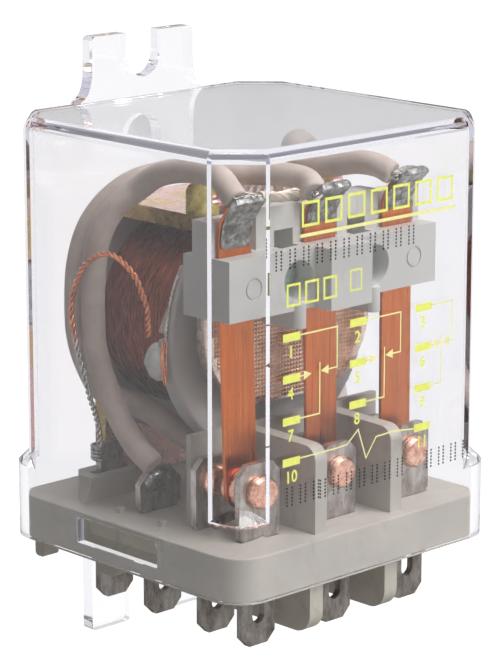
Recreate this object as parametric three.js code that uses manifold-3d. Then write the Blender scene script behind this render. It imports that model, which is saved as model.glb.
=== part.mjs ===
// Three-pole plug-in power relay with a clear dust cover, a mounting flange and eleven quick-connect blades.
// Millimetres, +Z up. The contact side faces -Y, the flange is on +Y, and z = 0 is the underside of the base.
import * as THREE from 'three';
import { mergeVertices } from 'three/addons/utils/BufferGeometryUtils.js';
import initManifold from 'manifold-3d';

const wasm = await initManifold();
wasm.setup();

// ---------- driving dimensions ----------
const WIDTH = 38.9;             // case, left to right
const DEPTH = 37.2;             // case, front to back
const CASE_TOP = 46.4;
const CHAMFER = 4.4;            // upright corners of the case
const WALL = 1.0;
const SKIRT_TOP = 9.6;          // the corners flare out below this height
const SKIRT_CORNER = 4.0;
const SKIRT_FLARE = 1.3;
const TOP_ROUND = 1.2;

const FLANGE_THICK = 1.6;
const FLANGE_TOP = 53.5;
const FLANGE_BOTTOM = -14;
const FLANGE_HALF = 7.4;
const FLANGE_ROOT_HALF = 9.1;
const FLANGE_SLOT_HALF = 2.5;
const TONGUE_HALF = 8.4;
const TONGUE_SLOT_HALF = 2.8;

const BASE_TOP = 4.7;
const BASE_GAP = 0.15;          // base to the inside of the skirt
const LATCH_HALF = 6.4;
const LATCH_LOW = 1.5;
const LATCH_HIGH = 4.3;
const BARRIER_TOP = 14.1;
const RIB_DEPTH = 6.4;

const POLE_PITCH = 11.3;
const POLES = [-POLE_PITCH, 0, POLE_PITCH];
const ROW_NC = -12.7;           // mid planes of the four rows of blades, front to back
const ROW_NO = -6.53;
const ROW_COM = 1.87;
const ROW_COIL = 9.77;
const BLADE_WIDTH = 4.75;
const BLADE_THICK = 0.8;
const BLADE_LENGTH = 7.0;
const SLOT_GAP = 0.12;

const CONTACT_Z = 9.7;
const ARM_Y = -10.4;            // mid plane of the moving copper arms
const ARM_WIDTH = 4.5;
const ARM_THICK = 0.4;
const ARM_LEAN = [-0.035, -0.02, -0.005];  // sideways per millimetre of height above the contact
const ARM_BEND_Z = 35.8;        // the tails curl forward above this height
const ARM_TOP = 39.8;

const AXIS_Z = 24.2;            // coil and core axis
const WINDING_RADIUS = 10.9;
const FLANGE_DISC_RADIUS = 14.2;
const DISC_CUT_Z = 34.8;
const DISC_FRONT = -3.5;
const DISC_THICK = 2.0;
const REAR_DISC_THICK = 1.2;
const BOBBIN_BACK = 12.5;
const HUB_RADIUS = 5.2;
const CORE_RADIUS = 4.0;
const POLE_RADIUS = 6.4;
const POLE_FACE = -3.72;

const YOKE_HALF = 9.4;
const YOKE_THICK = 1.7;
const YOKE_TOP = 36.9;
const YOKE_FRONT = -4.4;
const YOKE_BACK = 14.3;

const ARMATURE_FRONT = -6.05;
const ARMATURE_THICK = 1.3;
const ARMATURE_HALF = 11.7;
const ARMATURE_FOOT = 16.5;
const ARMATURE_NECK_HALF = 7.4;
const SPRING_Z = 38.6;
const RIVET_X = 5.65;
const RIVET_Z = 31.2;

const BAR_HALF = 15;
const BAR_FRONT = -12.7;
const BAR_BACK = -6.35;
const BAR_LOW = 28;
const BAR_HIGH = 34.4;

const LEAD_RADIUS = 1.3;
const WIRE_RADIUS = 0.22;

// ---------- materials ----------
const material = (color, roughness, metalness, extra = {}) =>
  new THREE.MeshStandardMaterial({ color, roughness, metalness, ...extra });

const MATERIALS = {
  clear: material(0xe9e9f2, 0.08, 0, { transparent: true, opacity: 0.3 }),
  phenolic: material(0xaba7a0, 0.55, 0),
  carrier: material(0xc8c8c6, 0.5, 0),
  bobbin: material(0xbab8b4, 0.5, 0),
  tinned: material(0x9a9088, 0.38, 1),
  solder: material(0xb4b2ae, 0.25, 1),
  copper: material(0xb9704e, 0.34, 1),
  winding: material(0x7a3c30, 0.42, 0.6),
  dichromate: material(0xc9a39a, 0.36, 1),
  steel: material(0x8f9694, 0.4, 1),
  sleeve: material(0xbeb4af, 0.7, 0),
  lacquer: material(0xd6d3cc, 0.4, 0),
  wire: material(0xa8552f, 0.4, 0.8),
};

// ---------- solid helpers ----------
function toSolid(geometry) {
  const bare = geometry.clone();
  bare.deleteAttribute('normal');
  bare.deleteAttribute('uv');
  const merged = mergeVertices(bare, 1e-4);
  return new wasm.Manifold(new wasm.Mesh({
    numProp: 3,
    vertProperties: new Float32Array(merged.attributes.position.array),
    triVerts: new Uint32Array(merged.index.array),
  }));
}

function toGeometry(solid) {
  const mesh = solid.getMesh();
  const geometry = new THREE.BufferGeometry();
  geometry.setAttribute('position', new THREE.BufferAttribute(new Float32Array(mesh.vertProperties), 3));
  geometry.setIndex(new THREE.BufferAttribute(new Uint32Array(mesh.triVerts), 1));
  geometry.computeVertexNormals();
  return geometry;
}

const join = (...solids) => solids.reduce((sum, solid) => sum.add(solid));
const cut = (solid, ...tools) => tools.reduce((left, tool) => left.subtract(tool), solid);

function box(x, y, z) {
  const geometry = new THREE.BoxGeometry(x[1] - x[0], y[1] - y[0], z[1] - z[0]);
  geometry.translate((x[0] + x[1]) / 2, (y[0] + y[1]) / 2, (z[0] + z[1]) / 2);
  return toSolid(geometry);
}

// A round bar along Y between two depths.
function rodY(radius, y, x, z, segments = 20) {
  const geometry = new THREE.CylinderGeometry(radius, radius, y[1] - y[0], segments);
  geometry.translate(x, (y[0] + y[1]) / 2, z);
  return toSolid(geometry);
}

// A profile turned about an axis along Y: points are [radius, depth].
function turnedY(profile, x, z, segments = 36) {
  const points = profile.map(([radius, depth]) => new THREE.Vector2(radius, depth));
  const geometry = new THREE.LatheGeometry(points, segments);
  geometry.translate(x, 0, z);
  return toSolid(geometry);
}

// A closed outline of [x, z] points made into a plate between two depths.
function plateXZ(shape, y) {
  const geometry = new THREE.ExtrudeGeometry(shape, {
    depth: y[1] - y[0], bevelEnabled: false, curveSegments: 5,
  });
  geometry.rotateX(Math.PI / 2);
  geometry.translate(0, y[1], 0);
  return toSolid(geometry);
}

// A closed outline of [y, z] points made into a bar between two x values.
function barYZ(shape, x) {
  const geometry = new THREE.ExtrudeGeometry(shape, {
    depth: x[1] - x[0], bevelEnabled: false, curveSegments: 5,
  });
  geometry.rotateX(Math.PI / 2);
  geometry.rotateZ(Math.PI / 2);
  geometry.translate(x[0], 0, 0);
  return toSolid(geometry);
}

function outline(points) {
  return new THREE.Shape(points.map(([u, v]) => new THREE.Vector2(u, v)));
}

function roundedOutline(x, y, radius) {
  const shape = new THREE.Shape();
  shape.moveTo(x[0] + radius, y[0]);
  shape.lineTo(x[1] - radius, y[0]);
  shape.absarc(x[1] - radius, y[0] + radius, radius, -Math.PI / 2, 0);
  shape.lineTo(x[1], y[1] - radius);
  shape.absarc(x[1] - radius, y[1] - radius, radius, 0, Math.PI / 2);
  shape.lineTo(x[0] + radius, y[1]);
  shape.absarc(x[0] + radius, y[1] - radius, radius, Math.PI / 2, Math.PI);
  shape.lineTo(x[0], y[0] + radius);
  shape.absarc(x[0] + radius, y[0] + radius, radius, Math.PI, 1.5 * Math.PI);
  return shape;
}

function chamferedOutline(halfX, halfY, leg) {
  return outline([
    [-halfX + leg, -halfY], [halfX - leg, -halfY], [halfX, -halfY + leg], [halfX, halfY - leg],
    [halfX - leg, halfY], [-halfX + leg, halfY], [-halfX, halfY - leg], [-halfX, -halfY + leg],
  ]);
}

// An upright block whose top edge is rounded or chamfered by its bevel, cut off square at the bottom.
function uprightBlock(shape, z, bevel, bevelSegments) {
  const geometry = new THREE.ExtrudeGeometry(shape, {
    depth: z[1] - z[0], bevelEnabled: true, bevelSize: bevel, bevelOffset: -bevel,
    bevelThickness: bevel, bevelSegments, curveSegments: 6,
  });
  geometry.translate(0, 0, z[0]);
  const reach = WIDTH * 2;
  return cut(toSolid(geometry), box([-reach, reach], [-reach, reach], [z[0] - bevel - 1, z[0]]));
}

// A round cord through hand-placed points.
function cord(points, radius, steps, segments = 10) {
  const curve = new THREE.CatmullRomCurve3(points.map((p) => new THREE.Vector3(...p)), false, 'centripetal');
  const circle = new THREE.Shape();
  circle.absarc(0, 0, radius, 0, 2 * Math.PI);
  const geometry = new THREE.ExtrudeGeometry(circle, {
    steps, curveSegments: segments, bevelEnabled: false, extrudePath: curve,
  });
  return toSolid(geometry);
}

// A lump of solder or lacquer: a stretched ball.
function lump(centre, radii) {
  const geometry = new THREE.SphereGeometry(1, 14, 9);
  geometry.scale(...radii);
  geometry.translate(...centre);
  return toSolid(geometry);
}

const part = new THREE.Group();

function addSolid(name, solid, look) {
  const mesh = new THREE.Mesh(toGeometry(solid), MATERIALS[look]);
  mesh.name = name;
  part.add(mesh);
}

// ---------- cover with its flange ----------
const HALF_X = WIDTH / 2;
const HALF_Y = DEPTH / 2;
const INNER_CHAMFER = CHAMFER - WALL * (2 - Math.SQRT2);

function caseShell() {
  const body = uprightBlock(
    chamferedOutline(HALF_X, HALF_Y, CHAMFER), [SKIRT_TOP - 3, CASE_TOP - TOP_ROUND], TOP_ROUND, 4);
  const skirt = uprightBlock(roundedOutline([-HALF_X, HALF_X], [-HALF_Y, HALF_Y], SKIRT_CORNER),
    [0, SKIRT_TOP - SKIRT_FLARE], SKIRT_FLARE, 1);
  const innerTop = CASE_TOP - WALL - 0.1;
  const inner = uprightBlock(
    chamferedOutline(HALF_X - WALL, HALF_Y - WALL, INNER_CHAMFER), [-2, innerTop - 0.4], 0.4, 2);
  const innerSkirt = uprightBlock(
    roundedOutline([-HALF_X + WALL, HALF_X - WALL], [-HALF_Y + WALL, HALF_Y - WALL], SKIRT_CORNER - WALL),
    [-2, SKIRT_TOP - SKIRT_FLARE - 0.4], SKIRT_FLARE, 1);
  return { outer: join(body, skirt), inner: join(inner, innerSkirt) };
}

function upperFlange() {
  const flareTop = 50.1;
  const shape = new THREE.Shape();
  shape.moveTo(-FLANGE_ROOT_HALF, CASE_TOP - 3);
  shape.lineTo(FLANGE_ROOT_HALF, CASE_TOP - 3);
  shape.lineTo(FLANGE_ROOT_HALF, CASE_TOP + 0.1);
  shape.quadraticCurveTo(FLANGE_HALF, CASE_TOP + 0.5, FLANGE_HALF, flareTop);
  shape.lineTo(FLANGE_HALF, FLANGE_TOP - 0.4);
  shape.lineTo(FLANGE_HALF - 0.4, FLANGE_TOP);
  shape.lineTo(FLANGE_SLOT_HALF, FLANGE_TOP);
  shape.lineTo(FLANGE_SLOT_HALF, 48.5 + FLANGE_SLOT_HALF);
  shape.absarc(0, 48.5 + FLANGE_SLOT_HALF, FLANGE_SLOT_HALF, 0, Math.PI, true);
  shape.lineTo(-FLANGE_SLOT_HALF, FLANGE_TOP);
  shape.lineTo(-FLANGE_HALF + 0.4, FLANGE_TOP);
  shape.lineTo(-FLANGE_HALF, FLANGE_TOP - 0.4);
  shape.lineTo(-FLANGE_HALF, flareTop);
  shape.quadraticCurveTo(-FLANGE_HALF, CASE_TOP + 0.5, -FLANGE_ROOT_HALF, CASE_TOP + 0.1);
  return plateXZ(shape, [HALF_Y - FLANGE_THICK, HALF_Y]);
}

function lowerTongue(side) {
  const x = [TONGUE_SLOT_HALF, TONGUE_HALF].map((half) => side * half).sort((a, b) => a - b);
  return plateXZ(roundedOutline(x, [FLANGE_BOTTOM, 6], 0.5), [HALF_Y - FLANGE_THICK, HALF_Y]);
}

function cover() {
  const { outer, inner } = caseShell();
  const reach = HALF_X + 2;
  const latchWindow = box([-reach, reach], [-LATCH_HALF, LATCH_HALF], [LATCH_LOW, LATCH_HIGH]);
  return cut(join(outer, upperFlange(), lowerTongue(-1), lowerTongue(1)), inner, latchWindow);
}

// ---------- base moulding ----------
const BASE_X = HALF_X - WALL - BASE_GAP;
const BASE_Y = HALF_Y - WALL - BASE_GAP;

function terminalSites() {
  const rows = [ROW_NC, ROW_NO, ROW_COM];
  const sites = rows.flatMap((y) => POLES.map((x) => [x, y]));
  return [...sites, [-POLE_PITCH, ROW_COIL], [POLE_PITCH, ROW_COIL]];
}

function barrierWall(x) {
  const shape = new THREE.Shape();
  const front = -16.1;
  const back = -5.3;
  shape.moveTo(front, BASE_TOP - 1);
  shape.lineTo(back, BASE_TOP - 1);
  shape.lineTo(back, BARRIER_TOP + 0.2);
  shape.lineTo(front + 1.6, BARRIER_TOP);
  shape.absarc(front + 1.6, BARRIER_TOP - 1.6, 1.6, Math.PI / 2, Math.PI);
  return barYZ(shape, [x - 0.85, x + 0.85]);
}

function undersideRib(x) {
  const shape = new THREE.Shape();
  shape.moveTo(-16, 1);
  shape.lineTo(-16, -RIB_DEPTH + 2.2);
  shape.absarc(-13.8, -RIB_DEPTH + 2.2, 2.2, Math.PI, 1.5 * Math.PI);
  shape.lineTo(3.5, -RIB_DEPTH);
  shape.absarc(3.5, -RIB_DEPTH + 2.2, 2.2, 1.5 * Math.PI, 2 * Math.PI);
  shape.lineTo(5.7, 1);
  return barYZ(shape, [x - 0.95, x + 0.95]);
}

// A flared post under a coil terminal, its outer back corner cut away.
function coilPedestal(side) {
  const top = 7.4;
  const shape = outline([
    [side * 8.6, BASE_TOP - 1], [side * 16.4, BASE_TOP - 1], [side * 16.2, BASE_TOP + 0.3],
    [side * 15.4, BASE_TOP + 1.6], [side * 15.2, top], [side * 8.6, top],
  ]);
  const corner = new THREE.ExtrudeGeometry(
    outline([[side * 18, 8.4], [side * 16.6, 8.4], [side * 13.6, 12.4], [side * 18, 12.4]]),
    { depth: 12, bevelEnabled: false });
  corner.translate(0, 0, BASE_TOP - 0.1);
  return cut(plateXZ(shape, [8.2, 12]), toSolid(corner));
}

function latchWedge(side) {
  const face = side * (HALF_X - WALL - 0.1);
  const root = side * (BASE_X - 1);
  const geometry = new THREE.ExtrudeGeometry(
    outline([[root, 1.9], [face, 2.5], [side * (HALF_X - WALL + 0.35), 4.0], [root, 4.1]]),
    { depth: 10.6, bevelEnabled: false });
  geometry.rotateX(Math.PI / 2);
  geometry.translate(0, 5.3, 0);
  return toSolid(geometry);
}

function base() {
  const block = uprightBlock(
    roundedOutline([-BASE_X, BASE_X], [-BASE_Y, BASE_Y], SKIRT_CORNER - WALL - BASE_GAP),
    [0, BASE_TOP - 0.3], 0.3, 2);
  const wallsX = [-POLE_PITCH / 2, POLE_PITCH / 2];
  const crossWall = box([-13.4, 13.4], [-5.6, -4.9], [BASE_TOP - 1, 14.6]);
  const keys = [-1, 1].flatMap((side) => [
    barYZ(roundedOutline([14.6, 16.2], [-2.7, 1], 0.5), side < 0 ? [-17.2, -15.2] : [15.2, 17.2]),
    barYZ(roundedOutline([6.2, 9.3], [-3.75, 1], 0.9), side < 0 ? [-14.1, -10.3] : [10.3, 14.1]),
  ]);
  const nubs = [-1, 1].flatMap((side) => [3.4, -3.4].map((y) => box(
    [side * 15.4 - 0.35, side * 15.4 + 0.35], [y - 0.35, y + 0.35], [BASE_TOP - 1, BASE_TOP + 0.6])));
  let solid = join(block, crossWall, ...wallsX.map(barrierWall), ...wallsX.map(undersideRib),
    coilPedestal(-1), coilPedestal(1), latchWedge(-1), latchWedge(1), ...keys, ...nubs);
  const slotHalf = BLADE_WIDTH / 2 + SLOT_GAP;
  const slotDepth = BLADE_THICK / 2 + SLOT_GAP;
  for (const [x, y] of terminalSites()) {
    solid = cut(solid, box([x - slotHalf, x + slotHalf], [y - slotDepth, y + slotDepth], [-12, 20]));
  }
  for (const side of [-1, 1]) {
    const x = [4, 7.6].map((half) => side * half).sort((a, b) => a - b);
    const footRoom = box(
      [x[0] - 0.1, x[1] + 0.1], [YOKE_BACK - YOKE_THICK - 0.1, YOKE_BACK + 0.1], [1.4, 8]);
    solid = cut(solid, footRoom);
  }
  return solid;
}

// ---------- terminals ----------
function bladeOutline(headHalf, headTop, headChamfer) {
  const half = BLADE_WIDTH / 2;
  const tip = 1.1;
  return outline([
    [-half + tip, -BLADE_LENGTH], [half - tip, -BLADE_LENGTH], [half, -BLADE_LENGTH + tip],
    [half, BASE_TOP + 0.35], [headHalf, BASE_TOP + 0.35], [headHalf, headTop - headChamfer],
    [headHalf - headChamfer, headTop], [-headHalf + headChamfer, headTop],
    [-headHalf, headTop - headChamfer], [-headHalf, BASE_TOP + 0.35],
    [-half, BASE_TOP + 0.35], [-half, -BLADE_LENGTH + tip],
  ]);
}

function tipHole() {
  return roundedOutline([-0.87, 0.87], [-BLADE_LENGTH + 2.35, -BLADE_LENGTH + 5.4], 0.87);
}

function terminal(x, y, head) {
  const depth = [y - BLADE_THICK / 2, y + BLADE_THICK / 2];
  const through = [y - 1, y + 1];
  let solid = cut(
    plateXZ(bladeOutline(head.half, head.top, head.chamfer), depth), plateXZ(tipHole(), through));
  if (head.contact) {
    solid = cut(solid, rodY(1.05, through, 0, CONTACT_Z, 12));
  }
  return solid.translate([x, 0, 0]);
}

const CONTACT_HEAD = { half: 2.6, top: 12.8, chamfer: 1.1, contact: true };
const COMMON_HEAD = { half: 2.9, top: 9.3, chamfer: 1.5, contact: false };
const COIL_HEAD = { half: 1.6, top: 10.6, chamfer: 0.5, contact: false };

function addTerminals() {
  POLES.forEach((x, i) => {
    addSolid(`terminal_nc_${i + 1}`, terminal(x, ROW_NC, CONTACT_HEAD), 'tinned');
    addSolid(`terminal_no_${i + 1}`, terminal(x, ROW_NO, { ...CONTACT_HEAD, top: 12.3 }), 'tinned');
    addSolid(`terminal_common_${i + 1}`, terminal(x, ROW_COM, COMMON_HEAD), 'tinned');
  });
  addSolid('terminal_coil_a', terminal(-POLE_PITCH, ROW_COIL, COIL_HEAD), 'tinned');
  addSolid('terminal_coil_b', terminal(POLE_PITCH, ROW_COIL, COIL_HEAD), 'tinned');
}

// ---------- contacts ----------
function fixedContact(x, row, inward, outerThick, innerThick) {
  const plate = BLADE_THICK / 2 + 0.03;
  const outerHead = row - inward * (plate + outerThick);
  const innerHead = row + inward * (plate + innerThick);
  const profile = [
    [0, outerHead], [1.45, outerHead], [1.75, outerHead + inward * outerThick * 0.4],
    [1.75, row - inward * plate], [0.95, row - inward * plate], [0.95, row + inward * plate],
    [1.75, row + inward * plate], [1.75, innerHead - inward * 0.3], [1.35, innerHead], [0, innerHead],
  ];
  return turnedY(inward > 0 ? profile : profile.reverse(), x, CONTACT_Z, 18);
}

function movingContact(x) {
  const half = ARM_THICK / 2 + 0.03;
  const reach = 1.15;
  return turnedY([
    [0, ARM_Y - reach], [1.6, ARM_Y - reach], [2.05, ARM_Y - reach + 0.35], [2.05, ARM_Y - half],
    [0.95, ARM_Y - half], [0.95, ARM_Y + half], [2.05, ARM_Y + half], [2.05, ARM_Y + reach - 0.35],
    [1.6, ARM_Y + reach], [0, ARM_Y + reach],
  ], x, CONTACT_Z, 18);
}

// ---------- moving arms, carrier and armature ----------
// The arms stand a little askew, each by its own amount.
function lean(solid, pole) {
  return solid.warp((vertex) => {
    vertex[0] += ARM_LEAN[pole] * Math.max(0, vertex[2] - CONTACT_Z);
  });
}

function tailPlane(z) {
  return ARM_Y - 0.084 * Math.max(0, z - ARM_BEND_Z) ** 2;
}

function tailHeights(from, to, steps) {
  return Array.from({ length: steps + 1 }, (_, i) => from + ((to - from) * i) / steps);
}

function copperArm(pole) {
  const x = POLES[pole];
  const half = ARM_THICK / 2;
  const heights = [7.2, CONTACT_Z + 0.3, ...tailHeights(ARM_BEND_Z, ARM_TOP, 5)];
  const side = outline([
    ...heights.map((z) => [tailPlane(z) + half, z]),
    ...heights.reverse().map((z) => [tailPlane(z) - half, z]),
  ]);
  const strip = barYZ(side, [x - ARM_WIDTH / 2, x + ARM_WIDTH / 2]);
  const face = new THREE.Shape();
  face.moveTo(x - ARM_WIDTH / 2, CONTACT_Z);
  face.absarc(x, CONTACT_Z, ARM_WIDTH / 2, Math.PI, 2 * Math.PI);
  face.lineTo(x + ARM_WIDTH / 2, 38.6);
  face.lineTo(x + ARM_WIDTH / 2 - 0.5, 41);
  face.lineTo(x - ARM_WIDTH / 2 + 0.7, 41);
  face.lineTo(x - ARM_WIDTH / 2, 37.8);
  const solid = cut(strip.intersect(plateXZ(face, [ARM_Y - 4, ARM_Y + 4])),
    rodY(1.05, [ARM_Y - 1, ARM_Y + 1], x, CONTACT_Z, 12));
  return cut(lean(solid, pole), cord(LEAD_ROUTES[pole].slice(0, 4), LEAD_RADIUS + 0.15, 16, 5));
}

function carrier() {
  const bar = box([-BAR_HALF, BAR_HALF], [BAR_FRONT, BAR_BACK], [BAR_LOW, BAR_HIGH]);
  const nose = box([-3.3, 2.75], [-15.1, BAR_FRONT + 1], [BAR_LOW - 0.1, BAR_HIGH]);
  const backWall = box([-BAR_HALF, BAR_HALF], [-8.9, -7.7], [BAR_HIGH - 1, 38.1]);
  const posts = [-1, 1].map((side) => {
    const x = [14.1, BAR_HALF].map((half) => side * half).sort((a, b) => a - b);
    return box(x, [-10.1, -8], [BAR_HIGH - 1, 38.1]);
  });
  const partitions = [-1, 1].map((side) => {
    const x = [2.5, 8.8].map((half) => side * half).sort((a, b) => a - b);
    return plateXZ(roundedOutline(x, [BAR_HIGH - 1.5, 38.7], 0.9), [-10.1, -8]);
  });
  const pockets = [-1, 1].map((side) => {
    const x = [4, 6.7].map((half) => side * half).sort((a, b) => a - b);
    return box(x, [-11.1, -7.9], [BAR_HIGH - 0.9, 36.1]);
  });
  const feet = [-1, 1].map((side) => {
    const x = side * 5.5;
    return join(box([x - 0.8, x + 0.8], [-12.7, -8.4], [26.1, BAR_LOW + 1]),
      uprightBlock(roundedOutline([x - 0.8, x + 0.8], [-13.3, -11.7], 0.78), [26.1, 28.8], 0.15, 1));
  });
  let solid = cut(join(bar, nose, backWall, ...posts, ...partitions, ...feet), ...pockets);
  POLES.forEach((x, pole) => {
    const slot = box([x - ARM_WIDTH / 2 - 0.12, x + ARM_WIDTH / 2 + 0.12],
      [ARM_Y - ARM_THICK / 2 - 0.12, ARM_Y + ARM_THICK / 2 + 0.12], [BAR_LOW - 1, 40]);
    solid = cut(solid, lean(slot, pole));
  });
  for (const side of [-1, 1]) {
    const x = side * RIVET_X;
    const well = rodY(2.1, [-14, -9.6], x, RIVET_Z, 24);
    const mark = side * 11.6;
    const ring = cut(rodY(1.2, [-13, BAR_FRONT + 0.14], mark, RIVET_Z - 0.1, 16),
      rodY(0.95, [-13.5, BAR_FRONT + 1], mark, RIVET_Z - 0.1, 16));
    solid = cut(solid, well, rodY(1.05, [-10, -5], x, RIVET_Z, 12), ring);
  }
  return solid;
}

function carrierRivet(side) {
  return turnedY([
    [0, -10.5], [1.55, -10.4], [1.85, -10.15], [1.85, -9.63], [0.95, -9.63], [0.95, -4.72],
    [1.6, -4.72], [1.5, -4.4], [0, -4.35],
  ], side * RIVET_X, RIVET_Z, 18);
}

function armature() {
  const corner = 8;
  const shape = new THREE.Shape();
  shape.moveTo(-ARMATURE_HALF + corner, ARMATURE_FOOT);
  shape.lineTo(ARMATURE_HALF - corner, ARMATURE_FOOT);
  shape.absarc(ARMATURE_HALF - corner, ARMATURE_FOOT + corner, corner, -Math.PI / 2, 0);
  shape.lineTo(ARMATURE_HALF, 33.4);
  shape.lineTo(ARMATURE_HALF - 0.8, 34.2);
  shape.lineTo(ARMATURE_NECK_HALF, 34.2);
  shape.lineTo(ARMATURE_NECK_HALF, 37.3);
  shape.lineTo(1.5, 37.3);
  shape.lineTo(1.5, 39.8);
  shape.lineTo(-1.5, 39.8);
  shape.lineTo(-1.5, 37.3);
  shape.lineTo(-ARMATURE_NECK_HALF, 37.3);
  shape.lineTo(-ARMATURE_NECK_HALF, 34.2);
  shape.lineTo(-ARMATURE_HALF + 0.8, 34.2);
  shape.lineTo(-ARMATURE_HALF, 33.4);
  shape.lineTo(-ARMATURE_HALF, ARMATURE_FOOT + corner);
  shape.absarc(-ARMATURE_HALF + corner, ARMATURE_FOOT + corner, corner, Math.PI, 1.5 * Math.PI);
  const through = [-8, -3];
  return cut(plateXZ(shape, [ARMATURE_FRONT, ARMATURE_FRONT + ARMATURE_THICK]),
    rodY(1.05, through, -RIVET_X, RIVET_Z, 12), rodY(1.05, through, RIVET_X, RIVET_Z, 12),
    rodY(0.55, through, 0, SPRING_Z, 16));
}

// ---------- yoke, core and coil ----------
function yoke() {
  const bend = 2.2;
  const profile = new THREE.Shape();
  profile.moveTo(YOKE_FRONT, YOKE_TOP - YOKE_THICK);
  profile.lineTo(YOKE_BACK - bend, YOKE_TOP - YOKE_THICK);
  profile.absarc(YOKE_BACK - bend, YOKE_TOP - bend, bend - YOKE_THICK, Math.PI / 2, 0, true);
  profile.lineTo(YOKE_BACK - YOKE_THICK, BASE_TOP + 0.3);
  profile.lineTo(YOKE_BACK, BASE_TOP + 0.3);
  profile.lineTo(YOKE_BACK, YOKE_TOP - bend);
  profile.absarc(YOKE_BACK - bend, YOKE_TOP - bend, bend, 0, Math.PI / 2);
  profile.lineTo(YOKE_FRONT, YOKE_TOP);
  const bracket = barYZ(profile, [-YOKE_HALF, YOKE_HALF]);
  const feet = [-1, 1].map((side) => {
    const x = [4, 7.6].map((half) => side * half).sort((a, b) => a - b);
    return box(x, [YOKE_BACK - YOKE_THICK, YOKE_BACK], [1.6, BASE_TOP + 1]);
  });
  const ears = [-1, 1].map((side) => {
    const x = [7.9, YOKE_HALF].map((half) => side * half).sort((a, b) => a - b);
    const ear = roundedOutline([-5.2, -0.6], [YOKE_TOP - 1, 40.4], 1.5);
    return cut(barYZ(ear, x), barYZ(roundedOutline([-6, -4.2], [38.4, 39.5], 0.5), [x[0] - 1, x[1] + 1]));
  });
  const springPost = cut(plateXZ(roundedOutline([-1.3, 1.3], [YOKE_TOP - 1, 39.7], 0.6), [5.4, 6.4]),
    rodY(0.5, [4, 8], 0, SPRING_Z, 16));
  const coreHole = rodY(3.15, [YOKE_BACK - 3, YOKE_BACK + 2], 0, AXIS_Z, 32);
  return cut(join(bracket, ...feet, ...ears, springPost), coreHole);
}

function core() {
  const groove = { inner: 4.6, outer: 5.7, depth: 0.95 };
  return turnedY([
    [0, POLE_FACE], [groove.inner, POLE_FACE], [groove.inner, POLE_FACE + groove.depth],
    [groove.outer, POLE_FACE + groove.depth], [groove.outer, POLE_FACE], [POLE_RADIUS, POLE_FACE],
    [POLE_RADIUS, POLE_FACE + 1.3], [CORE_RADIUS, POLE_FACE + 1.3],
    [CORE_RADIUS, YOKE_BACK - YOKE_THICK - 0.05], [3.05, YOKE_BACK - YOKE_THICK - 0.05],
    [3.05, YOKE_BACK + 0.05], [3.8, YOKE_BACK + 0.05], [3.5, YOKE_BACK + 0.6], [0, YOKE_BACK + 0.7],
  ], 0, AXIS_Z, 28);
}

function shadingRing() {
  const front = POLE_FACE + 0.04;
  const back = POLE_FACE + 0.85;
  return turnedY([[4.7, front], [5.6, front], [5.6, back], [4.7, back], [4.7, front]], 0, AXIS_Z, 28);
}

function bobbin() {
  const discBack = DISC_FRONT + DISC_THICK;
  const rearDisc = BOBBIN_BACK - REAR_DISC_THICK;
  const turned = turnedY([
    [CORE_RADIUS + 0.1, BOBBIN_BACK], [CORE_RADIUS + 0.1, -2.35], [POLE_RADIUS + 0.15, -2.35],
    [POLE_RADIUS + 0.15, DISC_FRONT], [FLANGE_DISC_RADIUS - 0.3, DISC_FRONT],
    [FLANGE_DISC_RADIUS, DISC_FRONT + 0.3], [FLANGE_DISC_RADIUS, discBack], [HUB_RADIUS, discBack],
    [HUB_RADIUS, rearDisc], [FLANGE_DISC_RADIUS, rearDisc], [FLANGE_DISC_RADIUS, BOBBIN_BACK - 0.3],
    [FLANGE_DISC_RADIUS - 0.3, BOBBIN_BACK], [CORE_RADIUS + 0.1, BOBBIN_BACK],
  ], 0, AXIS_Z, 40);
  // A step behind the front disc's upper left edge, where the coil's start wire comes out in its sleeve.
  const step = turnedY([[11.6, -2.9], [15, -2.9], [15, -1.4], [11.6, -1.4], [11.6, -2.9]], 0, AXIS_Z, 40)
    .intersect(box([-20, -6], [-10, 5], [AXIS_Z + 0.2, 40]));
  return cut(turned, box([-20, 20], [-10, 20], [DISC_CUT_Z, 50]), step);
}

function winding() {
  const start = DISC_FRONT + DISC_THICK + 0.05;
  const end = BOBBIN_BACK - REAR_DISC_THICK - 0.05;
  const shoulder = 0.5;
  return turnedY([
    [HUB_RADIUS + 0.05, end], [HUB_RADIUS + 0.05, start], [WINDING_RADIUS - 0.35, start],
    [WINDING_RADIUS, start + shoulder], [WINDING_RADIUS, end - shoulder], [WINDING_RADIUS - 0.35, end],
    [HUB_RADIUS + 0.05, end],
  ], 0, AXIS_Z, 40);
}

// ---------- return spring ----------
function returnSpring() {
  const turns = 7;
  const radius = 1.0;
  const start = -3.6;
  const end = 4.6;
  const points = [[0, -4.45, SPRING_Z]];
  const perTurn = 7;
  for (let i = 0; i <= turns * perTurn; i += 1) {
    const angle = (i / perTurn) * 2 * Math.PI;
    const y = start + ((end - start) * i) / (turns * perTurn);
    const rise = 0.5 * (1 - Math.cos(angle)) + 0.4 * Math.sin(angle);
    points.push([radius * Math.sin(angle), y, SPRING_Z + radius * rise]);
  }
  points.push([0, 5.1, SPRING_Z]);
  return cord(points, 0.2, turns * perTurn + 8, 3);
}

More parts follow.
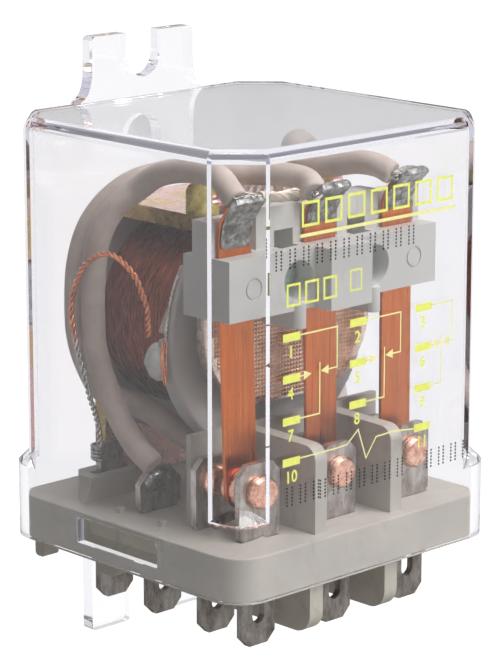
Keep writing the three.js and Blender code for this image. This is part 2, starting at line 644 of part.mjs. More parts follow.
// ---------- solder, leads and coil wires ----------
// A coat over the front of an arm's tail, thickest at the top where it holds the lead's bare strands.
function tailSolder(pole) {
  const x = POLES[pole];
  const bottom = pole === 0 ? 35.2 : 36.2;
  const top = 40.2;
  const heights = tailHeights(bottom, top, 6);
  const thickness = (z) => 0.18 + 0.95 * ((z - bottom) / (top - bottom)) ** 2;
  const side = outline([
    ...heights.map((z) => [tailPlane(z) - ARM_THICK / 2 - 0.03, z]),
    [tailPlane(top) - 0.5, 40.9], [tailPlane(top) - 1.0, 40.8],
    ...heights.reverse().map((z) => [tailPlane(z) - ARM_THICK / 2 - thickness(z), z]),
  ]);
  const half = ARM_WIDTH / 2 - 0.12;
  const face = plateXZ(roundedOutline([x - half, x + half], [bottom - 0.1, top + 0.75], 0.6), [-16, -8]);
  const coat = lean(barYZ(side, [x - half, x + half]).intersect(face), pole);
  return cut(coat, cord(LEAD_ROUTES[pole].slice(0, 4), LEAD_RADIUS + 0.05, 16, 5));
}

function tabSolder(pole) {
  const x = POLES[pole];
  const faceY = ROW_COM - BLADE_THICK / 2 - 0.04;
  const blob = lump([x - 0.6, faceY, 8.1], [1.9, 0.9, 1.3]);
  const lead = cord(LEAD_ROUTES[pole].slice(-4), LEAD_RADIUS + 0.05, 16, 5);
  return cut(blob, box([x - 5, x + 5], [faceY, faceY + 4], [0, 20]), lead);
}

// Sleeved flexible leads, from the tail of a copper arm round to the tab of its common terminal.
const LEAD_ROUTES = [
  [
    [-13.8, -12.3, 40.6], [-13.8, -11.4, 41.5], [-13.6, -10.0, 42.4], [-12.9, -7.6, 42.6],
    [-12.7, -5, 42.5], [-12.7, -2.2, 42], [-12.8, 0.2, 41.2], [-13.2, 2.4, 39.7], [-15, 4.2, 37.6],
    [-16, 5.4, 34.8], [-16.1, 6.2, 31.7], [-15.9, 6.8, 27.3], [-15.8, 6.9, 24.7], [-15.6, 6.9, 22.4],
    [-15.1, 6.6, 19.8], [-14.7, 5.9, 17.5], [-14.4, 4.1, 14.3], [-14, 2, 11.8], [-13.5, 0.1, 10.3],
  ],
  [
    [-2.7, -12.0, 39.8], [-2.2, -11.2, 40.3], [-1.8, -9.8, 40.8], [-2.5, -7.2, 41.1], [-3.5, -4.6, 41],
    [-5.5, -2, 41.1], [-7.4, 0.8, 41.2], [-8.8, 3.6, 40.6], [-11.2, 5.6, 39.7], [-13.3, 7.2, 37.8],
    [-14.9, 8.4, 35.1], [-15.7, 9.3, 31.2], [-15.8, 9.7, 27], [-15.6, 9.7, 23.1], [-14.3, 9.8, 19.6],
    [-12.5, 9.6, 16.6], [-10.4, 8.8, 15.2], [-9, 7.4, 14.5], [-8.1, 6, 13.7], [-6.8, 3.9, 12.1],
    [-5.5, 2.1, 10.7], [-4.6, 0.8, 9.8], [-3.6, 0.1, 9.4], [-2.4, -0.05, 9.4], [-1.2, -0.05, 9.9],
  ],
  [
    [8.7, -12.2, 40.4], [8.2, -10.8, 41.1], [7.7, -8.4, 41.3], [7, -6, 40.9], [6.5, -3.6, 40.3],
    [6.6, -1.2, 40.2], [8, 1.6, 40.7], [11.4, 3.8, 40.6], [14.6, 4.8, 38], [16.2, 5, 33.6],
    [16.6, 5, 28], [16.5, 4.6, 22], [15.8, 3.6, 15.6], [14.4, 1.4, 11.8], [13.2, 0.1, 10.3],
  ],
];

const COIL_WIRE_A = [
  [-14.6, -0.6, 24.6], [-15.4, -1.4, 26.2], [-16, -1.9, 28], [-16.6, -1.8, 29.7], [-17.2, -1.5, 31.4],
  [-17.6, -0.5, 32.6], [-17.85, 1, 33.4], [-17.9, 2.6, 33.4], [-17.9, 4.1, 32.8], [-17.9, 5.8, 31.6],
  [-17.9, 7, 29.9], [-17.9, 7.8, 27.9], [-17.9, 8, 25.9], [-17.9, 7.6, 24.1], [-17.7, 7, 21.4],
  [-17.2, 6.7, 19], [-16.3, 7, 16.7], [-15.2, 7.6, 14.9], [-13.9, 8.4, 12.4], [-13.3, 9, 10.4],
];
const COIL_WIRE_B = [
  [11.6, 9.4, 27.6], [13, 10.4, 26], [14, 10.9, 22], [14, 10.9, 17], [13.8, 10.2, 13], [13.3, 9, 10.4],
];
const SLEEVE_ROUTE = [
  [-9.9, -0.9, 31.4], [-10.5, -0.9, 30.3], [-11, -0.9, 29.2], [-11.2, -0.9, 27.9], [-12.1, -0.9, 26.6],
  [-12.7, -0.9, 25.4], [-13, -0.9, 24.7],
];

function lacquerDab() {
  const dab = join(lump([-13.4, -0.8, 21.9], [1.9, 1.1, 2.1]), lump([-14.1, -1.6, 21.8], [1.5, 1.2, 1.9]));
  const rim = turnedY([
    [0, DISC_FRONT - 0.4], [FLANGE_DISC_RADIUS + 0.1, DISC_FRONT - 0.4], [FLANGE_DISC_RADIUS + 0.1, -1.45],
    [WINDING_RADIUS + 0.1, -1.45], [WINDING_RADIUS + 0.1, 2], [0, 2],
  ], 0, AXIS_Z, 40);
  return cut(dab, rim);
}

function braidEnd() {
  return cord([[-9.9, -12.6, 40.4], [-8.4, -12.3, 40.1], [-6.6, -12, 40], [-5, -11.6, 40.1]], 0.62, 12, 5);
}

// ---------- assembly ----------
addSolid('cover', cover(), 'clear');
addSolid('base', base(), 'phenolic');
addTerminals();
POLES.forEach((x, i) => {
  addSolid(`contact_nc_${i + 1}`, fixedContact(x, ROW_NC, 1, 0.9, 0.6), 'copper');
  addSolid(`contact_no_${i + 1}`, fixedContact(x, ROW_NO, -1, 0.3, 0.8), 'copper');
});
addSolid('yoke', yoke(), 'dichromate');
addSolid('core', core(), 'steel');
addSolid('shading_ring', shadingRing(), 'copper');
addSolid('bobbin', bobbin(), 'bobbin');
addSolid('winding', winding(), 'winding');
addSolid('return_spring', returnSpring(), 'steel');

addSolid('armature', armature(), 'steel');
addSolid('carrier', carrier(), 'carrier');
[-1, 1].forEach((side, i) => addSolid(`carrier_rivet_${i + 1}`, carrierRivet(side), 'steel'));
POLES.forEach((x, i) => {
  addSolid(`arm_${i + 1}`, copperArm(i), 'copper');
  addSolid(`moving_contact_${i + 1}`, movingContact(x), 'copper');
  addSolid(`tail_solder_${i + 1}`, tailSolder(i), 'solder');
});

POLES.forEach((x, i) => {
  addSolid(`tab_solder_${i + 1}`, tabSolder(i), 'solder');
  addSolid(`flex_lead_${i + 1}`, cord(LEAD_ROUTES[i], LEAD_RADIUS, 44, 5), 'sleeve');
});
addSolid('coil_wire_a', cord(COIL_WIRE_A, WIRE_RADIUS, 34, 3), 'wire');
addSolid('coil_wire_b', cord(COIL_WIRE_B, WIRE_RADIUS, 24, 3), 'wire');
addSolid('wire_sleeve', cord(SLEEVE_ROUTE, 0.55, 16, 5), 'sleeve');
addSolid('lacquer_dab', lacquerDab(), 'lacquer');
addSolid('braid_end', braidEnd(), 'solder');

export default part;
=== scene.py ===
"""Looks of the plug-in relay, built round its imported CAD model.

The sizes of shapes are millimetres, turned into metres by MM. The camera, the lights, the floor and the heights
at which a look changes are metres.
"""
import math

import bpy
import numpy as np
from mathutils import Matrix, Vector, noise


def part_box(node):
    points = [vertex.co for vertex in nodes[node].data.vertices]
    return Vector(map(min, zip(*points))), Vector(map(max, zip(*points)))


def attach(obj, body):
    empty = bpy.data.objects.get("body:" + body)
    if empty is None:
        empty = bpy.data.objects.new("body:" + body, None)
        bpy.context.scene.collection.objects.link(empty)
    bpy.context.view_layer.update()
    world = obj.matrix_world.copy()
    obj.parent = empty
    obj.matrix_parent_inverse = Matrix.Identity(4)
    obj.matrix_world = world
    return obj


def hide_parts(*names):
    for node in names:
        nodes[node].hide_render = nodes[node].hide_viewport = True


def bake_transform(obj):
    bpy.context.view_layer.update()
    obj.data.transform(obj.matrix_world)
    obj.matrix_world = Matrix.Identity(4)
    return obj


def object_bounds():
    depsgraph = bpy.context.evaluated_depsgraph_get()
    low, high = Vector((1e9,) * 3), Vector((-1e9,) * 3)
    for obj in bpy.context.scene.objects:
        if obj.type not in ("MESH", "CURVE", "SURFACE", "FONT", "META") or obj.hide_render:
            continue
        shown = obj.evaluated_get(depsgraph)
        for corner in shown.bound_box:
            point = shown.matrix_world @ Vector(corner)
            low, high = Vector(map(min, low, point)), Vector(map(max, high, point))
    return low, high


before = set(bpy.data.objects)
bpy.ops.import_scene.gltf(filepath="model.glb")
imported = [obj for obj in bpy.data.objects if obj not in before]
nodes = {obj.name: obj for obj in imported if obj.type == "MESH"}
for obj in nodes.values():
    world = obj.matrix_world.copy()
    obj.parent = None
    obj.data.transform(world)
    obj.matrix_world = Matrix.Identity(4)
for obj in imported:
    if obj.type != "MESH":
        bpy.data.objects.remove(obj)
cad_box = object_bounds()
MM = 0.001
POLES = (1, 2, 3)


def corners(name):
    """A CAD node's lowest and highest corners, in millimetres."""
    low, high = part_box(name)
    return np.array(low) / MM, np.array(high) / MM


def direction(azimuth, elevation):
    """Unit vector away from the relay. Azimuth in degrees from the front (-Y) towards +X, elevation above level."""
    a, e = math.radians(azimuth), math.radians(elevation)
    return Vector((math.sin(a) * math.cos(e), -math.cos(a) * math.cos(e), math.sin(e)))


def add_object(name, data):
    """A new object in the scene."""
    made = bpy.data.objects.new(name, data)
    bpy.context.scene.collection.objects.link(made)
    return made


def math_node(tree, operation, a, b=None, clamp=False):
    """The output of a Math node. a and b are sockets or numbers."""
    node = tree.nodes.new("ShaderNodeMath")
    node.operation = operation
    node.use_clamp = clamp
    for socket, value in zip(node.inputs, (a, b)):
        if isinstance(value, bpy.types.NodeSocket):
            tree.links.new(value, socket)
        elif value is not None:
            socket.default_value = value
    return node.outputs[0]


# ---------- camera ----------
VIEW_AZIMUTH = -43.72
VIEW_ELEVATION = 13.55
VIEW_DISTANCE = 0.3055
TARGET = Vector((0, 0, 0.02229))
LENS = 152.43
SENSOR_WIDTH = 36
CLIP_START = 0.01

back = direction(VIEW_AZIMUTH, VIEW_ELEVATION)
camera = add_object("camera", bpy.data.cameras.new("camera"))
camera.data.lens = LENS
camera.data.sensor_width = SENSOR_WIDTH
camera.data.clip_start = CLIP_START
camera.location = TARGET + back * VIEW_DISTANCE
camera.rotation_euler = back.to_track_quat("Z", "Y").to_euler()
bpy.context.scene.camera = camera
bpy.context.scene.view_settings.view_transform = "Standard"

# Light runs a long way inside the cover's walls before it leaves them.
MOST_BOUNCES = 48
cycles = bpy.context.scene.cycles
cycles.max_bounces = MOST_BOUNCES
cycles.transmission_bounces = MOST_BOUNCES
cycles.glossy_bounces = MOST_BOUNCES
cycles.transparent_max_bounces = MOST_BOUNCES

# ---------- lights and world ----------
# Softboxes: name, azimuth and elevation in degrees, distance and size in metres, power in watts, colour.
SOFTBOXES = [
    ("key_softbox", 22, 38, 0.7, 0.42, 4.2, (1, 1, 1)),
    ("fill_softbox", -70, 40, 0.8, 0.4, 0.4, (1.0, 0.97, 0.94)),
    ("top_softbox", 10, 76, 0.7, 0.4, 3.0, (1, 1, 1)),
    ("rim_softbox", 150, 45, 0.8, 0.5, 0.6, (1, 1, 1)),
]
# Dark cards round the white studio: azimuth, elevation, inner and outer reach in degrees, brightness at the middle.
CARDS = [(-115, 10, 40, 85, 0.10), (60, 12, 8, 30, 0.6), (-40, 90, 15, 48, 0.8)]
STUDIO_STRENGTH = 0.36
SEEN_THROUGH_COVER = 0.8
# A ray that bounced more often than this was trapped in the clear wall: it leaves straight and meets a bright room.
BOUNCES_IN_WALL = 7
SEEN_ALONG_WALL = 0.5


def area_light(name, azimuth, elevation, distance, size, power, colour):
    """A square softbox that faces the relay."""
    towards = direction(azimuth, elevation)
    data = bpy.data.lights.new(name, "AREA")
    data.size = size
    data.energy = power
    data.color = colour
    light = add_object(name, data)
    light.location = TARGET + towards * distance
    light.rotation_euler = towards.to_track_quat("Z", "Y").to_euler()


def shade_of_cards(tree):
    """How bright the studio is in each direction: 1 away from the dark cards."""
    coordinates = tree.nodes.new("ShaderNodeTexCoord")
    shade = 1.0
    for azimuth, elevation, inner, outer, brightness in CARDS:
        near = tree.nodes.new("ShaderNodeVectorMath")
        near.operation = "DOT_PRODUCT"
        near.inputs[1].default_value = direction(azimuth, elevation)
        tree.links.new(coordinates.outputs["Generated"], near.inputs[0])
        card = tree.nodes.new("ShaderNodeMapRange")
        card.interpolation_type = "SMOOTHSTEP"
        card.inputs["From Min"].default_value = math.cos(math.radians(outer))
        card.inputs["From Max"].default_value = math.cos(math.radians(inner))
        card.inputs["To Min"].default_value = 1.0
        card.inputs["To Max"].default_value = brightness
        tree.links.new(near.outputs["Value"], card.inputs["Value"])
        shade = math_node(tree, "MULTIPLY", shade, card.outputs[0])
    return shade


def build_world():
    """A white studio with soft dark cards. What the camera sees directly stays white."""
    world = bpy.data.worlds.new("studio")
    bpy.context.scene.world = world
    world.use_nodes = True
    tree = world.node_tree
    tree.nodes.clear()
    path = tree.nodes.new("ShaderNodeLightPath").outputs
    trapped = math_node(tree, "GREATER_THAN", path["Ray Depth"], BOUNCES_IN_WALL)
    room = math_node(tree, "MULTIPLY", shade_of_cards(tree), STUDIO_STRENGTH)
    for ray, brightness in ((path["Is Camera Ray"], 1), (path["Is Transmission Ray"], SEEN_THROUGH_COVER),
                            (trapped, SEEN_ALONG_WALL)):
        room = math_node(tree, "MAXIMUM", room, math_node(tree, "MULTIPLY", ray, brightness))
    surface = tree.nodes.new("ShaderNodeBackground")
    surface.inputs["Color"].default_value = (1, 1, 1, 1)
    tree.links.new(room, surface.inputs["Strength"])
    output = tree.nodes.new("ShaderNodeOutputWorld")
    tree.links.new(surface.outputs[0], output.inputs["Surface"])


for softbox in SOFTBOXES:
    area_light(*softbox)
build_world()


# ---------- materials ----------
NOISE_RANGE = (0.3, 0.7)


class Look:
    """A Principled material with a few shorthands for procedural variation in object space."""

    def __init__(self, name, colour, roughness=0.5, metallic=0.0, **settings):
        self.material = bpy.data.materials.new(name)
        self.material.use_nodes = True
        self.tree = self.material.node_tree
        self.shader = self.tree.nodes["Principled BSDF"]
        self.output = self.tree.nodes["Material Output"]
        self.place = self.make("ShaderNodeTexCoord").outputs["Object"]
        self.shader.inputs["Base Color"].default_value = (*colour, 1)
        self.shader.inputs["Roughness"].default_value = roughness
        self.shader.inputs["Metallic"].default_value = metallic
        for key, value in settings.items():
            self.shader.inputs[key.replace("_", " ").title().replace("Ior", "IOR")].default_value = value

    def make(self, kind):
        return self.tree.nodes.new(kind)

    def link(self, source, target):
        self.tree.links.new(source, target)

    def calc(self, operation, a, b=None, clamp=False):
        return math_node(self.tree, operation, a, b, clamp)

    def noise(self, scale, stretch=(1, 1, 1), detail=4.0, roughness=0.6, distortion=0.0):
        """Noise whose cells are about 1/scale metres; stretch lengthens them along an axis."""
        mapping = self.make("ShaderNodeMapping")
        mapping.inputs["Scale"].default_value = tuple(1 / s for s in stretch)
        self.link(self.place, mapping.inputs["Vector"])
        texture = self.make("ShaderNodeTexNoise")
        texture.inputs["Scale"].default_value = scale
        texture.inputs["Detail"].default_value = detail
        texture.inputs["Roughness"].default_value = roughness
        texture.inputs["Distortion"].default_value = distortion
        self.link(mapping.outputs[0], texture.inputs["Vector"])
        return texture.outputs["Fac"]

    def ramp(self, value, stops):
        """Colours or greys along a 0 to 1 value."""
        ramp = self.make("ShaderNodeValToRGB")
        elements = ramp.color_ramp.elements
        while len(elements) < len(stops):
            elements.new(0.5)
        for element, (position, colour) in zip(elements, stops):
            element.position = position
            element.color = (*((colour,) * 3 if isinstance(colour, (int, float)) else colour), 1)
        self.link(value, ramp.inputs[0])
        return ramp.outputs[0]

    def span(self, value, low, high, to_low=0.0, to_high=1.0):
        """Stretches a value from one range to another."""
        mapped = self.make("ShaderNodeMapRange")
        for key, number in zip(("From Min", "From Max", "To Min", "To Max"), (low, high, to_low, to_high)):
            mapped.inputs[key].default_value = number
        self.link(value, mapped.inputs["Value"])
        return mapped.outputs[0]

    def mix(self, factor, a, b, blend="MIX"):
        """A colour mix. a and b are sockets or colours, factor is a socket or a number."""
        mixed = self.make("ShaderNodeMix")
        mixed.data_type = "RGBA"
        mixed.blend_type = blend
        for socket, value in ((mixed.inputs[0], factor), (mixed.inputs[6], a), (mixed.inputs[7], b)):
            if isinstance(value, bpy.types.NodeSocket):
                self.link(value, socket)
            elif isinstance(value, (int, float)):
                socket.default_value = value
            else:
                socket.default_value = (*value, 1)
        return mixed.outputs[2]

    def axis(self, which):
        """A coordinate in metres."""
        split = self.make("ShaderNodeSeparateXYZ")
        self.link(self.place, split.inputs[0])
        return split.outputs[which]

    def facing(self, which):
        """How squarely the surface faces along an axis, either way."""
        split = self.make("ShaderNodeSeparateXYZ")
        self.link(self.make("ShaderNodeTexCoord").outputs["Normal"], split.inputs[0])
        return self.calc("ABSOLUTE", split.outputs[which])

    def paint(self, socket):
        self.link(socket, self.shader.inputs["Base Color"])
        return self

    def rough(self, value, low, high):
        """Roughness from low to high as a noise goes through its usual range."""
        self.link(self.span(value, *NOISE_RANGE, low, high), self.shader.inputs["Roughness"])
        return self

    def bump(self, height, distance, strength=1.0):
        """Bump of a height socket; distance is its depth in millimetres. Later calls add to earlier ones."""
        node = self.make("ShaderNodeBump")
        node.inputs["Strength"].default_value = strength
        node.inputs["Distance"].default_value = distance * MM
        self.link(height, node.inputs["Height"])
        normal = self.shader.inputs["Normal"]
        if normal.is_linked:
            self.link(normal.links[0].from_socket, node.inputs["Normal"])
        self.link(node.outputs[0], normal)
        return self

    def choose(self, factor, first, second):
        """Shows the first shader where factor is 0 and the second where it is 1."""
        choice = self.make("ShaderNodeMixShader")
        for source, socket in zip((factor, first.outputs[0], second.outputs[0]), choice.inputs):
            self.link(source, socket)
        self.link(choice.outputs[0], self.output.inputs["Surface"])


CLEAR_TINT = (0.95, 0.948, 0.962)
CLEAR_IOR = 1.52
CLEAR_DEPTH_COLOUR = (0.62, 0.61, 0.71)
CLEAR_DEPTH_DENSITY = 42
CLEAR_HAZE = 0.03
STRAIGHT_THROUGH = (0.93, 0.93, 0.94)


def clear_plastic():
    """Clear moulded polycarbonate. Rays from lamps, off dull surfaces and long trapped in a wall go straight out."""
    look = Look("clear_cover", CLEAR_TINT, 0.0, 0.0, transmission_weight=1.0, ior=CLEAR_IOR)
    depth = look.make("ShaderNodeVolumeAbsorption")
    depth.inputs["Color"].default_value = (*CLEAR_DEPTH_COLOUR, 1)
    depth.inputs["Density"].default_value = CLEAR_DEPTH_DENSITY
    look.link(depth.outputs[0], look.output.inputs["Volume"])
    look.rough(look.noise(900, detail=3), 0.0, CLEAR_HAZE)
    path = look.make("ShaderNodeLightPath").outputs
    soft = look.calc("MAXIMUM", path["Is Shadow Ray"], path["Is Diffuse Ray"])
    trapped = look.calc("GREATER_THAN", path["Ray Depth"], BOUNCES_IN_WALL)
    through = look.make("ShaderNodeBsdfTransparent")
    through.inputs[0].default_value = (*STRAIGHT_THROUGH, 1)
    look.choose(look.calc("MAXIMUM", soft, trapped), look.shader, through)
    return look.material


STAIN_SHARE = 0.35


def moulding(name, colour, roughness, speckle=0.06, stain=None):
    """Moulded plastic with faint flow marks, fine grain and, where given, a stain colour."""
    look = Look(name, colour, roughness)
    cloud = look.noise(160, detail=5)
    darker = tuple(c * (1 - speckle * 1.6) for c in colour)
    lighter = tuple(min(1, c * (1 + speckle)) for c in colour)
    base = look.ramp(cloud, [(0.3, darker), (0.7, lighter)])
    if stain:
        patches = look.ramp(look.noise(420, detail=6, distortion=0.6), [(0.56, 0.0), (0.72, 1.0)])
        base = look.mix(look.span(patches, 0, 1, 0, STAIN_SHARE), base, stain)
    look.paint(base)
    look.rough(look.noise(700), roughness - 0.1, roughness + 0.12)
    look.bump(look.noise(5200, detail=2), 0.012, 0.5)
    return look.material


def tinned_metal():
    """Tinned brass of the blades, dull and spotted, with a grain along Z."""
    look = Look("tinned_metal", (0.5, 0.46, 0.42), 0.38, 1.0)
    tarnish = look.ramp(look.noise(900, (1, 1, 2.2), 6, 0.7), [
        (0.32, (0.2, 0.16, 0.135)), (0.48, (0.36, 0.32, 0.29)), (0.66, (0.52, 0.49, 0.46))])
    specks = look.ramp(look.noise(4500, detail=3), [(0.6, 0.0), (0.72, 1.0)])
    look.paint(look.mix(look.span(specks, 0, 1, 0, 0.5), tarnish, (0.16, 0.12, 0.1)))
    look.rough(look.noise(1500, (1, 1, 3)), 0.26, 0.52)
    look.bump(look.noise(3000, (1, 1, 6), 3), 0.02, 0.6)
    return look.material


def solder():
    """Bright solder with painted dark reflections in patches."""
    look = Look("solder", (0.78, 0.78, 0.77), 0.2, 1.0)
    # The near-black patches are painted dark reflection.
    look.paint(look.ramp(look.noise(1300, detail=5), [
        (0.35, (0.09, 0.088, 0.085)), (0.5, (0.2, 0.2, 0.19)), (0.7, (0.48, 0.47, 0.45))]))
    look.rough(look.noise(900), 0.16, 0.46)
    look.bump(look.noise(1100, detail=3), 0.03, 0.6)
    return look.material


# Heights in metres between which a look changes.
ARM_DARKENS = (0.009, 0.02)
WIRE_TINNED_BELOW = (0.0225, 0.0245)
# From EARS_BEGIN up, the yoke's X-facing sides carry painted highlight instead of painted shade.
EARS_BEGIN = (0.0368, 0.0376)


def arm_copper():
    """Rolled copper strip: grain along its length, darker and redder towards the contact."""
    look = Look("arm_copper", (0.75, 0.42, 0.28), 0.32, 1.0)
    grain = look.noise(6000, (1, 1, 40), 3)
    colour = look.ramp(grain, [
        (0.3, (0.43, 0.105, 0.02)), (0.55, (0.56, 0.145, 0.03)), (0.75, (0.68, 0.21, 0.055))])
    patches = look.ramp(look.noise(260, (1, 1, 2), 4), [(0.4, 0.0), (0.68, 1.0)])
    colour = look.mix(look.span(patches, 0, 1, 0, 0.35), colour, (0.32, 0.12, 0.06))
    low = look.span(look.axis("Z"), *ARM_DARKENS, 0.3, 0.0)
    look.paint(look.mix(low, colour, (0.3, 0.09, 0.045)))
    look.rough(look.noise(1800, (1, 1, 14)), 0.24, 0.42)
    look.bump(grain, 0.006, 0.5)
    return look.material


def contact_copper():
    """Pinkish contact rivets, polished in places."""
    look = Look("contact_copper", (0.8, 0.46, 0.34), 0.3, 1.0)
    look.paint(look.ramp(look.noise(1500, detail=5), [
        (0.35, (0.5, 0.24, 0.16)), (0.52, (0.78, 0.43, 0.31)), (0.7, (0.9, 0.6, 0.48))]))
    look.rough(look.noise(2600), 0.2, 0.42)
    look.bump(look.noise(2400, detail=2), 0.004, 0.3)
    return look.material


def winding_copper():
    """Red enamelled wire, streaked along its turns: the dark streaks are painted dark reflection, the bright ones
    painted highlight.
    """
    look = Look("winding_copper", (0.45, 0.16, 0.1), 0.34, 0.85)
    strand = look.noise(5200, (9, 1, 9), 3)
    # Painted reflection and highlight: the darkest stop stands for dark reflections along the turns, the brightest
    # for highlights.
    look.paint(look.ramp(strand, [
        (0.3, (0.08, 0.014, 0.008)), (0.5, (0.2, 0.036, 0.014)), (0.76, (0.46, 0.12, 0.05))]))
    look.rough(look.noise(2000, (6, 1, 6)), 0.22, 0.4)
    return look.material


def enamelled_wire():
    """Magnet wire, tinned at its lower end."""
    look = Look("enamelled_wire", (0.62, 0.26, 0.13), 0.35, 0.85, coat_weight=0.4, coat_roughness=0.2)
    copper = look.ramp(look.noise(1800, detail=3), [(0.35, (0.34, 0.09, 0.035)), (0.65, (0.66, 0.24, 0.1))])
    tinned = look.ramp(look.noise(2600, detail=3), [(0.35, (0.14, 0.13, 0.12)), (0.65, (0.5, 0.48, 0.46))])
    look.paint(look.mix(look.span(look.axis("Z"), *WIRE_TINNED_BELOW), tinned, copper))
    look.rough(look.noise(2500), 0.25, 0.45)
    return look.material


def dichromate():
    """Yellow passivated zinc: gold with pink and green patches. Faces that point along X get painted shade in dark
    olive, and higher up, on the ears, a painted highlight in bright gold.
    """
    look = Look("dichromate", (0.72, 0.55, 0.45), 0.3, 1.0)
    drift = look.noise(130, detail=4, distortion=1.2)
    colour = look.ramp(drift, [
        (0.24, (0.50, 0.40, 0.10)), (0.40, (0.74, 0.54, 0.24)), (0.54, (0.82, 0.52, 0.50)),
        (0.66, (0.78, 0.56, 0.44)), (0.80, (0.42, 0.42, 0.12))])
    # Painted shade: dark olive for the faces that point along X, which the lamps leave in shade.
    edge = look.ramp(look.noise(300, detail=4), [(0.35, (0.13, 0.08, 0.03)), (0.65, (0.3, 0.21, 0.08))])
    # Painted highlight: bright gold for those faces on the ears.
    gold = look.ramp(look.noise(420, detail=4), [(0.35, (0.42, 0.33, 0.08)), (0.65, (0.86, 0.76, 0.28))])
    side_shade_and_ear_highlight = look.mix(look.span(look.axis("Z"), *EARS_BEGIN), edge, gold)
    look.paint(look.mix(look.span(look.facing("X"), 0.5, 0.8), colour, side_shade_and_ear_highlight))
    look.rough(look.noise(1200), 0.2, 0.4)
    look.bump(look.noise(1600, detail=2), 0.015, 0.4)
    return look.material


def plated_steel(name, colour, roughness=0.35):
    """Plated metal with a slightly cloudy surface."""
    look = Look(name, colour, roughness, 1.0)
    look.paint(look.ramp(look.noise(700, detail=5), [
        (0.35, tuple(c * 0.72 for c in colour)), (0.65, tuple(min(1, c * 1.15) for c in colour))]))
    look.rough(look.noise(1800), roughness - 0.1, roughness + 0.12)
    look.bump(look.noise(2600, detail=3), 0.012, 0.5)
    return look.material


def sleeve():
    """Woven glass-fibre sleeving: matt, faintly mottled, with a very fine weave."""
    look = Look("sleeve", (0.6, 0.52, 0.47), 0.62, 0.0, sheen_weight=0.15, sheen_roughness=0.5)
    look.paint(look.ramp(look.noise(420, detail=5), [(0.3, (0.50, 0.40, 0.34)), (0.7, (0.64, 0.54, 0.47))]))
    look.rough(look.noise(1600), 0.5, 0.74)
    look.bump(look.noise(7000, detail=2), 0.02, 0.6)
    return look.material


def bare_wire():
    """Bright copper wire."""
    look = Look("bare_wire", (0.7, 0.3, 0.15), 0.3, 1.0)
    look.paint(look.ramp(look.noise(2200, detail=3), [(0.35, (0.42, 0.12, 0.05)), (0.65, (0.8, 0.34, 0.17))]))
    look.rough(look.noise(2500), 0.22, 0.42)
    return look.material


def ink(name, colour):
    """Pad-printed ink: slightly uneven cover and a faint grain."""
    look = Look(name, colour, 0.5)
    thin = tuple(min(1, c * 1.12 + 0.02) for c in colour)
    look.paint(look.ramp(look.noise(1500, detail=4), [(0.35, colour), (0.7, thin)]))
    look.rough(look.noise(2400), 0.42, 0.6)
    return look.material


LOOKS = {
    "clear": clear_plastic(),
    "base": moulding("base_moulding", (0.52, 0.485, 0.42), 0.5, 0.07, (0.32, 0.27, 0.2)),
    "carrier": moulding("carrier_moulding", (0.6, 0.59, 0.55), 0.46, 0.05),
    "bobbin": moulding("bobbin_moulding", (0.47, 0.445, 0.42), 0.42, 0.06),
    "tinned": tinned_metal(),
    "solder": solder(),
    "arm": arm_copper(),
    "contact": contact_copper(),
    "winding": winding_copper(),
    "wire": enamelled_wire(),
    "dichromate": dichromate(),
    "steel": plated_steel("plated_steel", (0.62, 0.61, 0.58)),
    "rivet": plated_steel("rivet_steel", (0.52, 0.68, 0.62), 0.46),
    "nickel": plated_steel("nickel_plate", (0.66, 0.55, 0.47), 0.28),
    "strand": plated_steel("tinned_strand", (0.42, 0.39, 0.35), 0.3),
    "braid": plated_steel("bare_braid", (0.62, 0.53, 0.44), 0.42),
    "sleeve": sleeve(),
    "lacquer": moulding("lacquer", (0.6, 0.6, 0.55), 0.16, 0.12),
    "wire_copper": bare_wire(),
    # The knurled face is plated steel; its copper-brown colour is a painted reflection of the copper arms in front
    # of it.
    "knurl": plated_steel("knurled_plate_painted_reflection", (0.66, 0.41, 0.27), 0.36),
    "ink": ink("pad_ink", (0.72, 0.75, 0.15)),
    "ink_pale": ink("line_ink", (0.76, 0.73, 0.32)),
    "ink_black": ink("dot_ink", (0.012, 0.012, 0.012)),
}

# ---------- CAD nodes that stay: rounded edges and a finished surface ----------
WELD_REACH = 0.002
FLAT_WITHIN = 0.6
SHARP_FROM = 28


def dress(name, look, bevel=0.1, segments=2):
    """Rounds a CAD node's sharp edges by so many millimetres, with modifiers, and gives it its material."""
    piece = nodes[name]
    piece.data.materials.clear()
    piece.data.materials.append(LOOKS[look])
    for polygon in piece.data.polygons:
        polygon.use_smooth = True
        polygon.material_index = 0
    weld = piece.modifiers.new("weld", "WELD")
    weld.merge_threshold = WELD_REACH * MM
    flat = piece.modifiers.new("flatten", "DECIMATE")
    flat.decimate_type = "DISSOLVE"
    flat.angle_limit = math.radians(FLAT_WITHIN)
    edge = piece.modifiers.new("bevel", "BEVEL")
    edge.width = bevel * MM
    edge.segments = segments
    edge.limit_method = "ANGLE"
    edge.angle_limit = math.radians(SHARP_FROM)
    edge.miter_outer = "MITER_ARC"
    normal = piece.modifiers.new("normals", "WEIGHTED_NORMAL")
    normal.keep_sharp = True


# Names that begin with these: look, edge rounding in millimetres, segments.
FAMILIES = {
    "terminal_": ("tinned", 0.09),
    "arm_": ("arm", 0.05),
    "contact_": ("contact", 0.06),
    "moving_contact_": ("contact", 0.06),
    "carrier_rivet": ("rivet", 0.12),
}
SINGLES = {
    "carrier": ("carrier", 0.18, 3),
    "yoke": ("dichromate", 0.15),
    "core": ("steel", 0.08),
    "shading_ring": ("contact", 0.06),
    "bobbin": ("bobbin", 0.15),
    "armature": ("nickel", 0.1),
}
dress("cover", "clear", 0.12, 3)
dress("base", "base", 0.2, 3)
for name in nodes:
    for start, finish in FAMILIES.items():
        if name.startswith(start):
            dress(name, *finish)
for name, finish in SINGLES.items():
    dress(name, *finish)

LUMP_VOXEL = 0.11
LUMP_GRAIN = 1.2
LUMP_MIDDLE = 0.55
SMOOTHINGS = 5


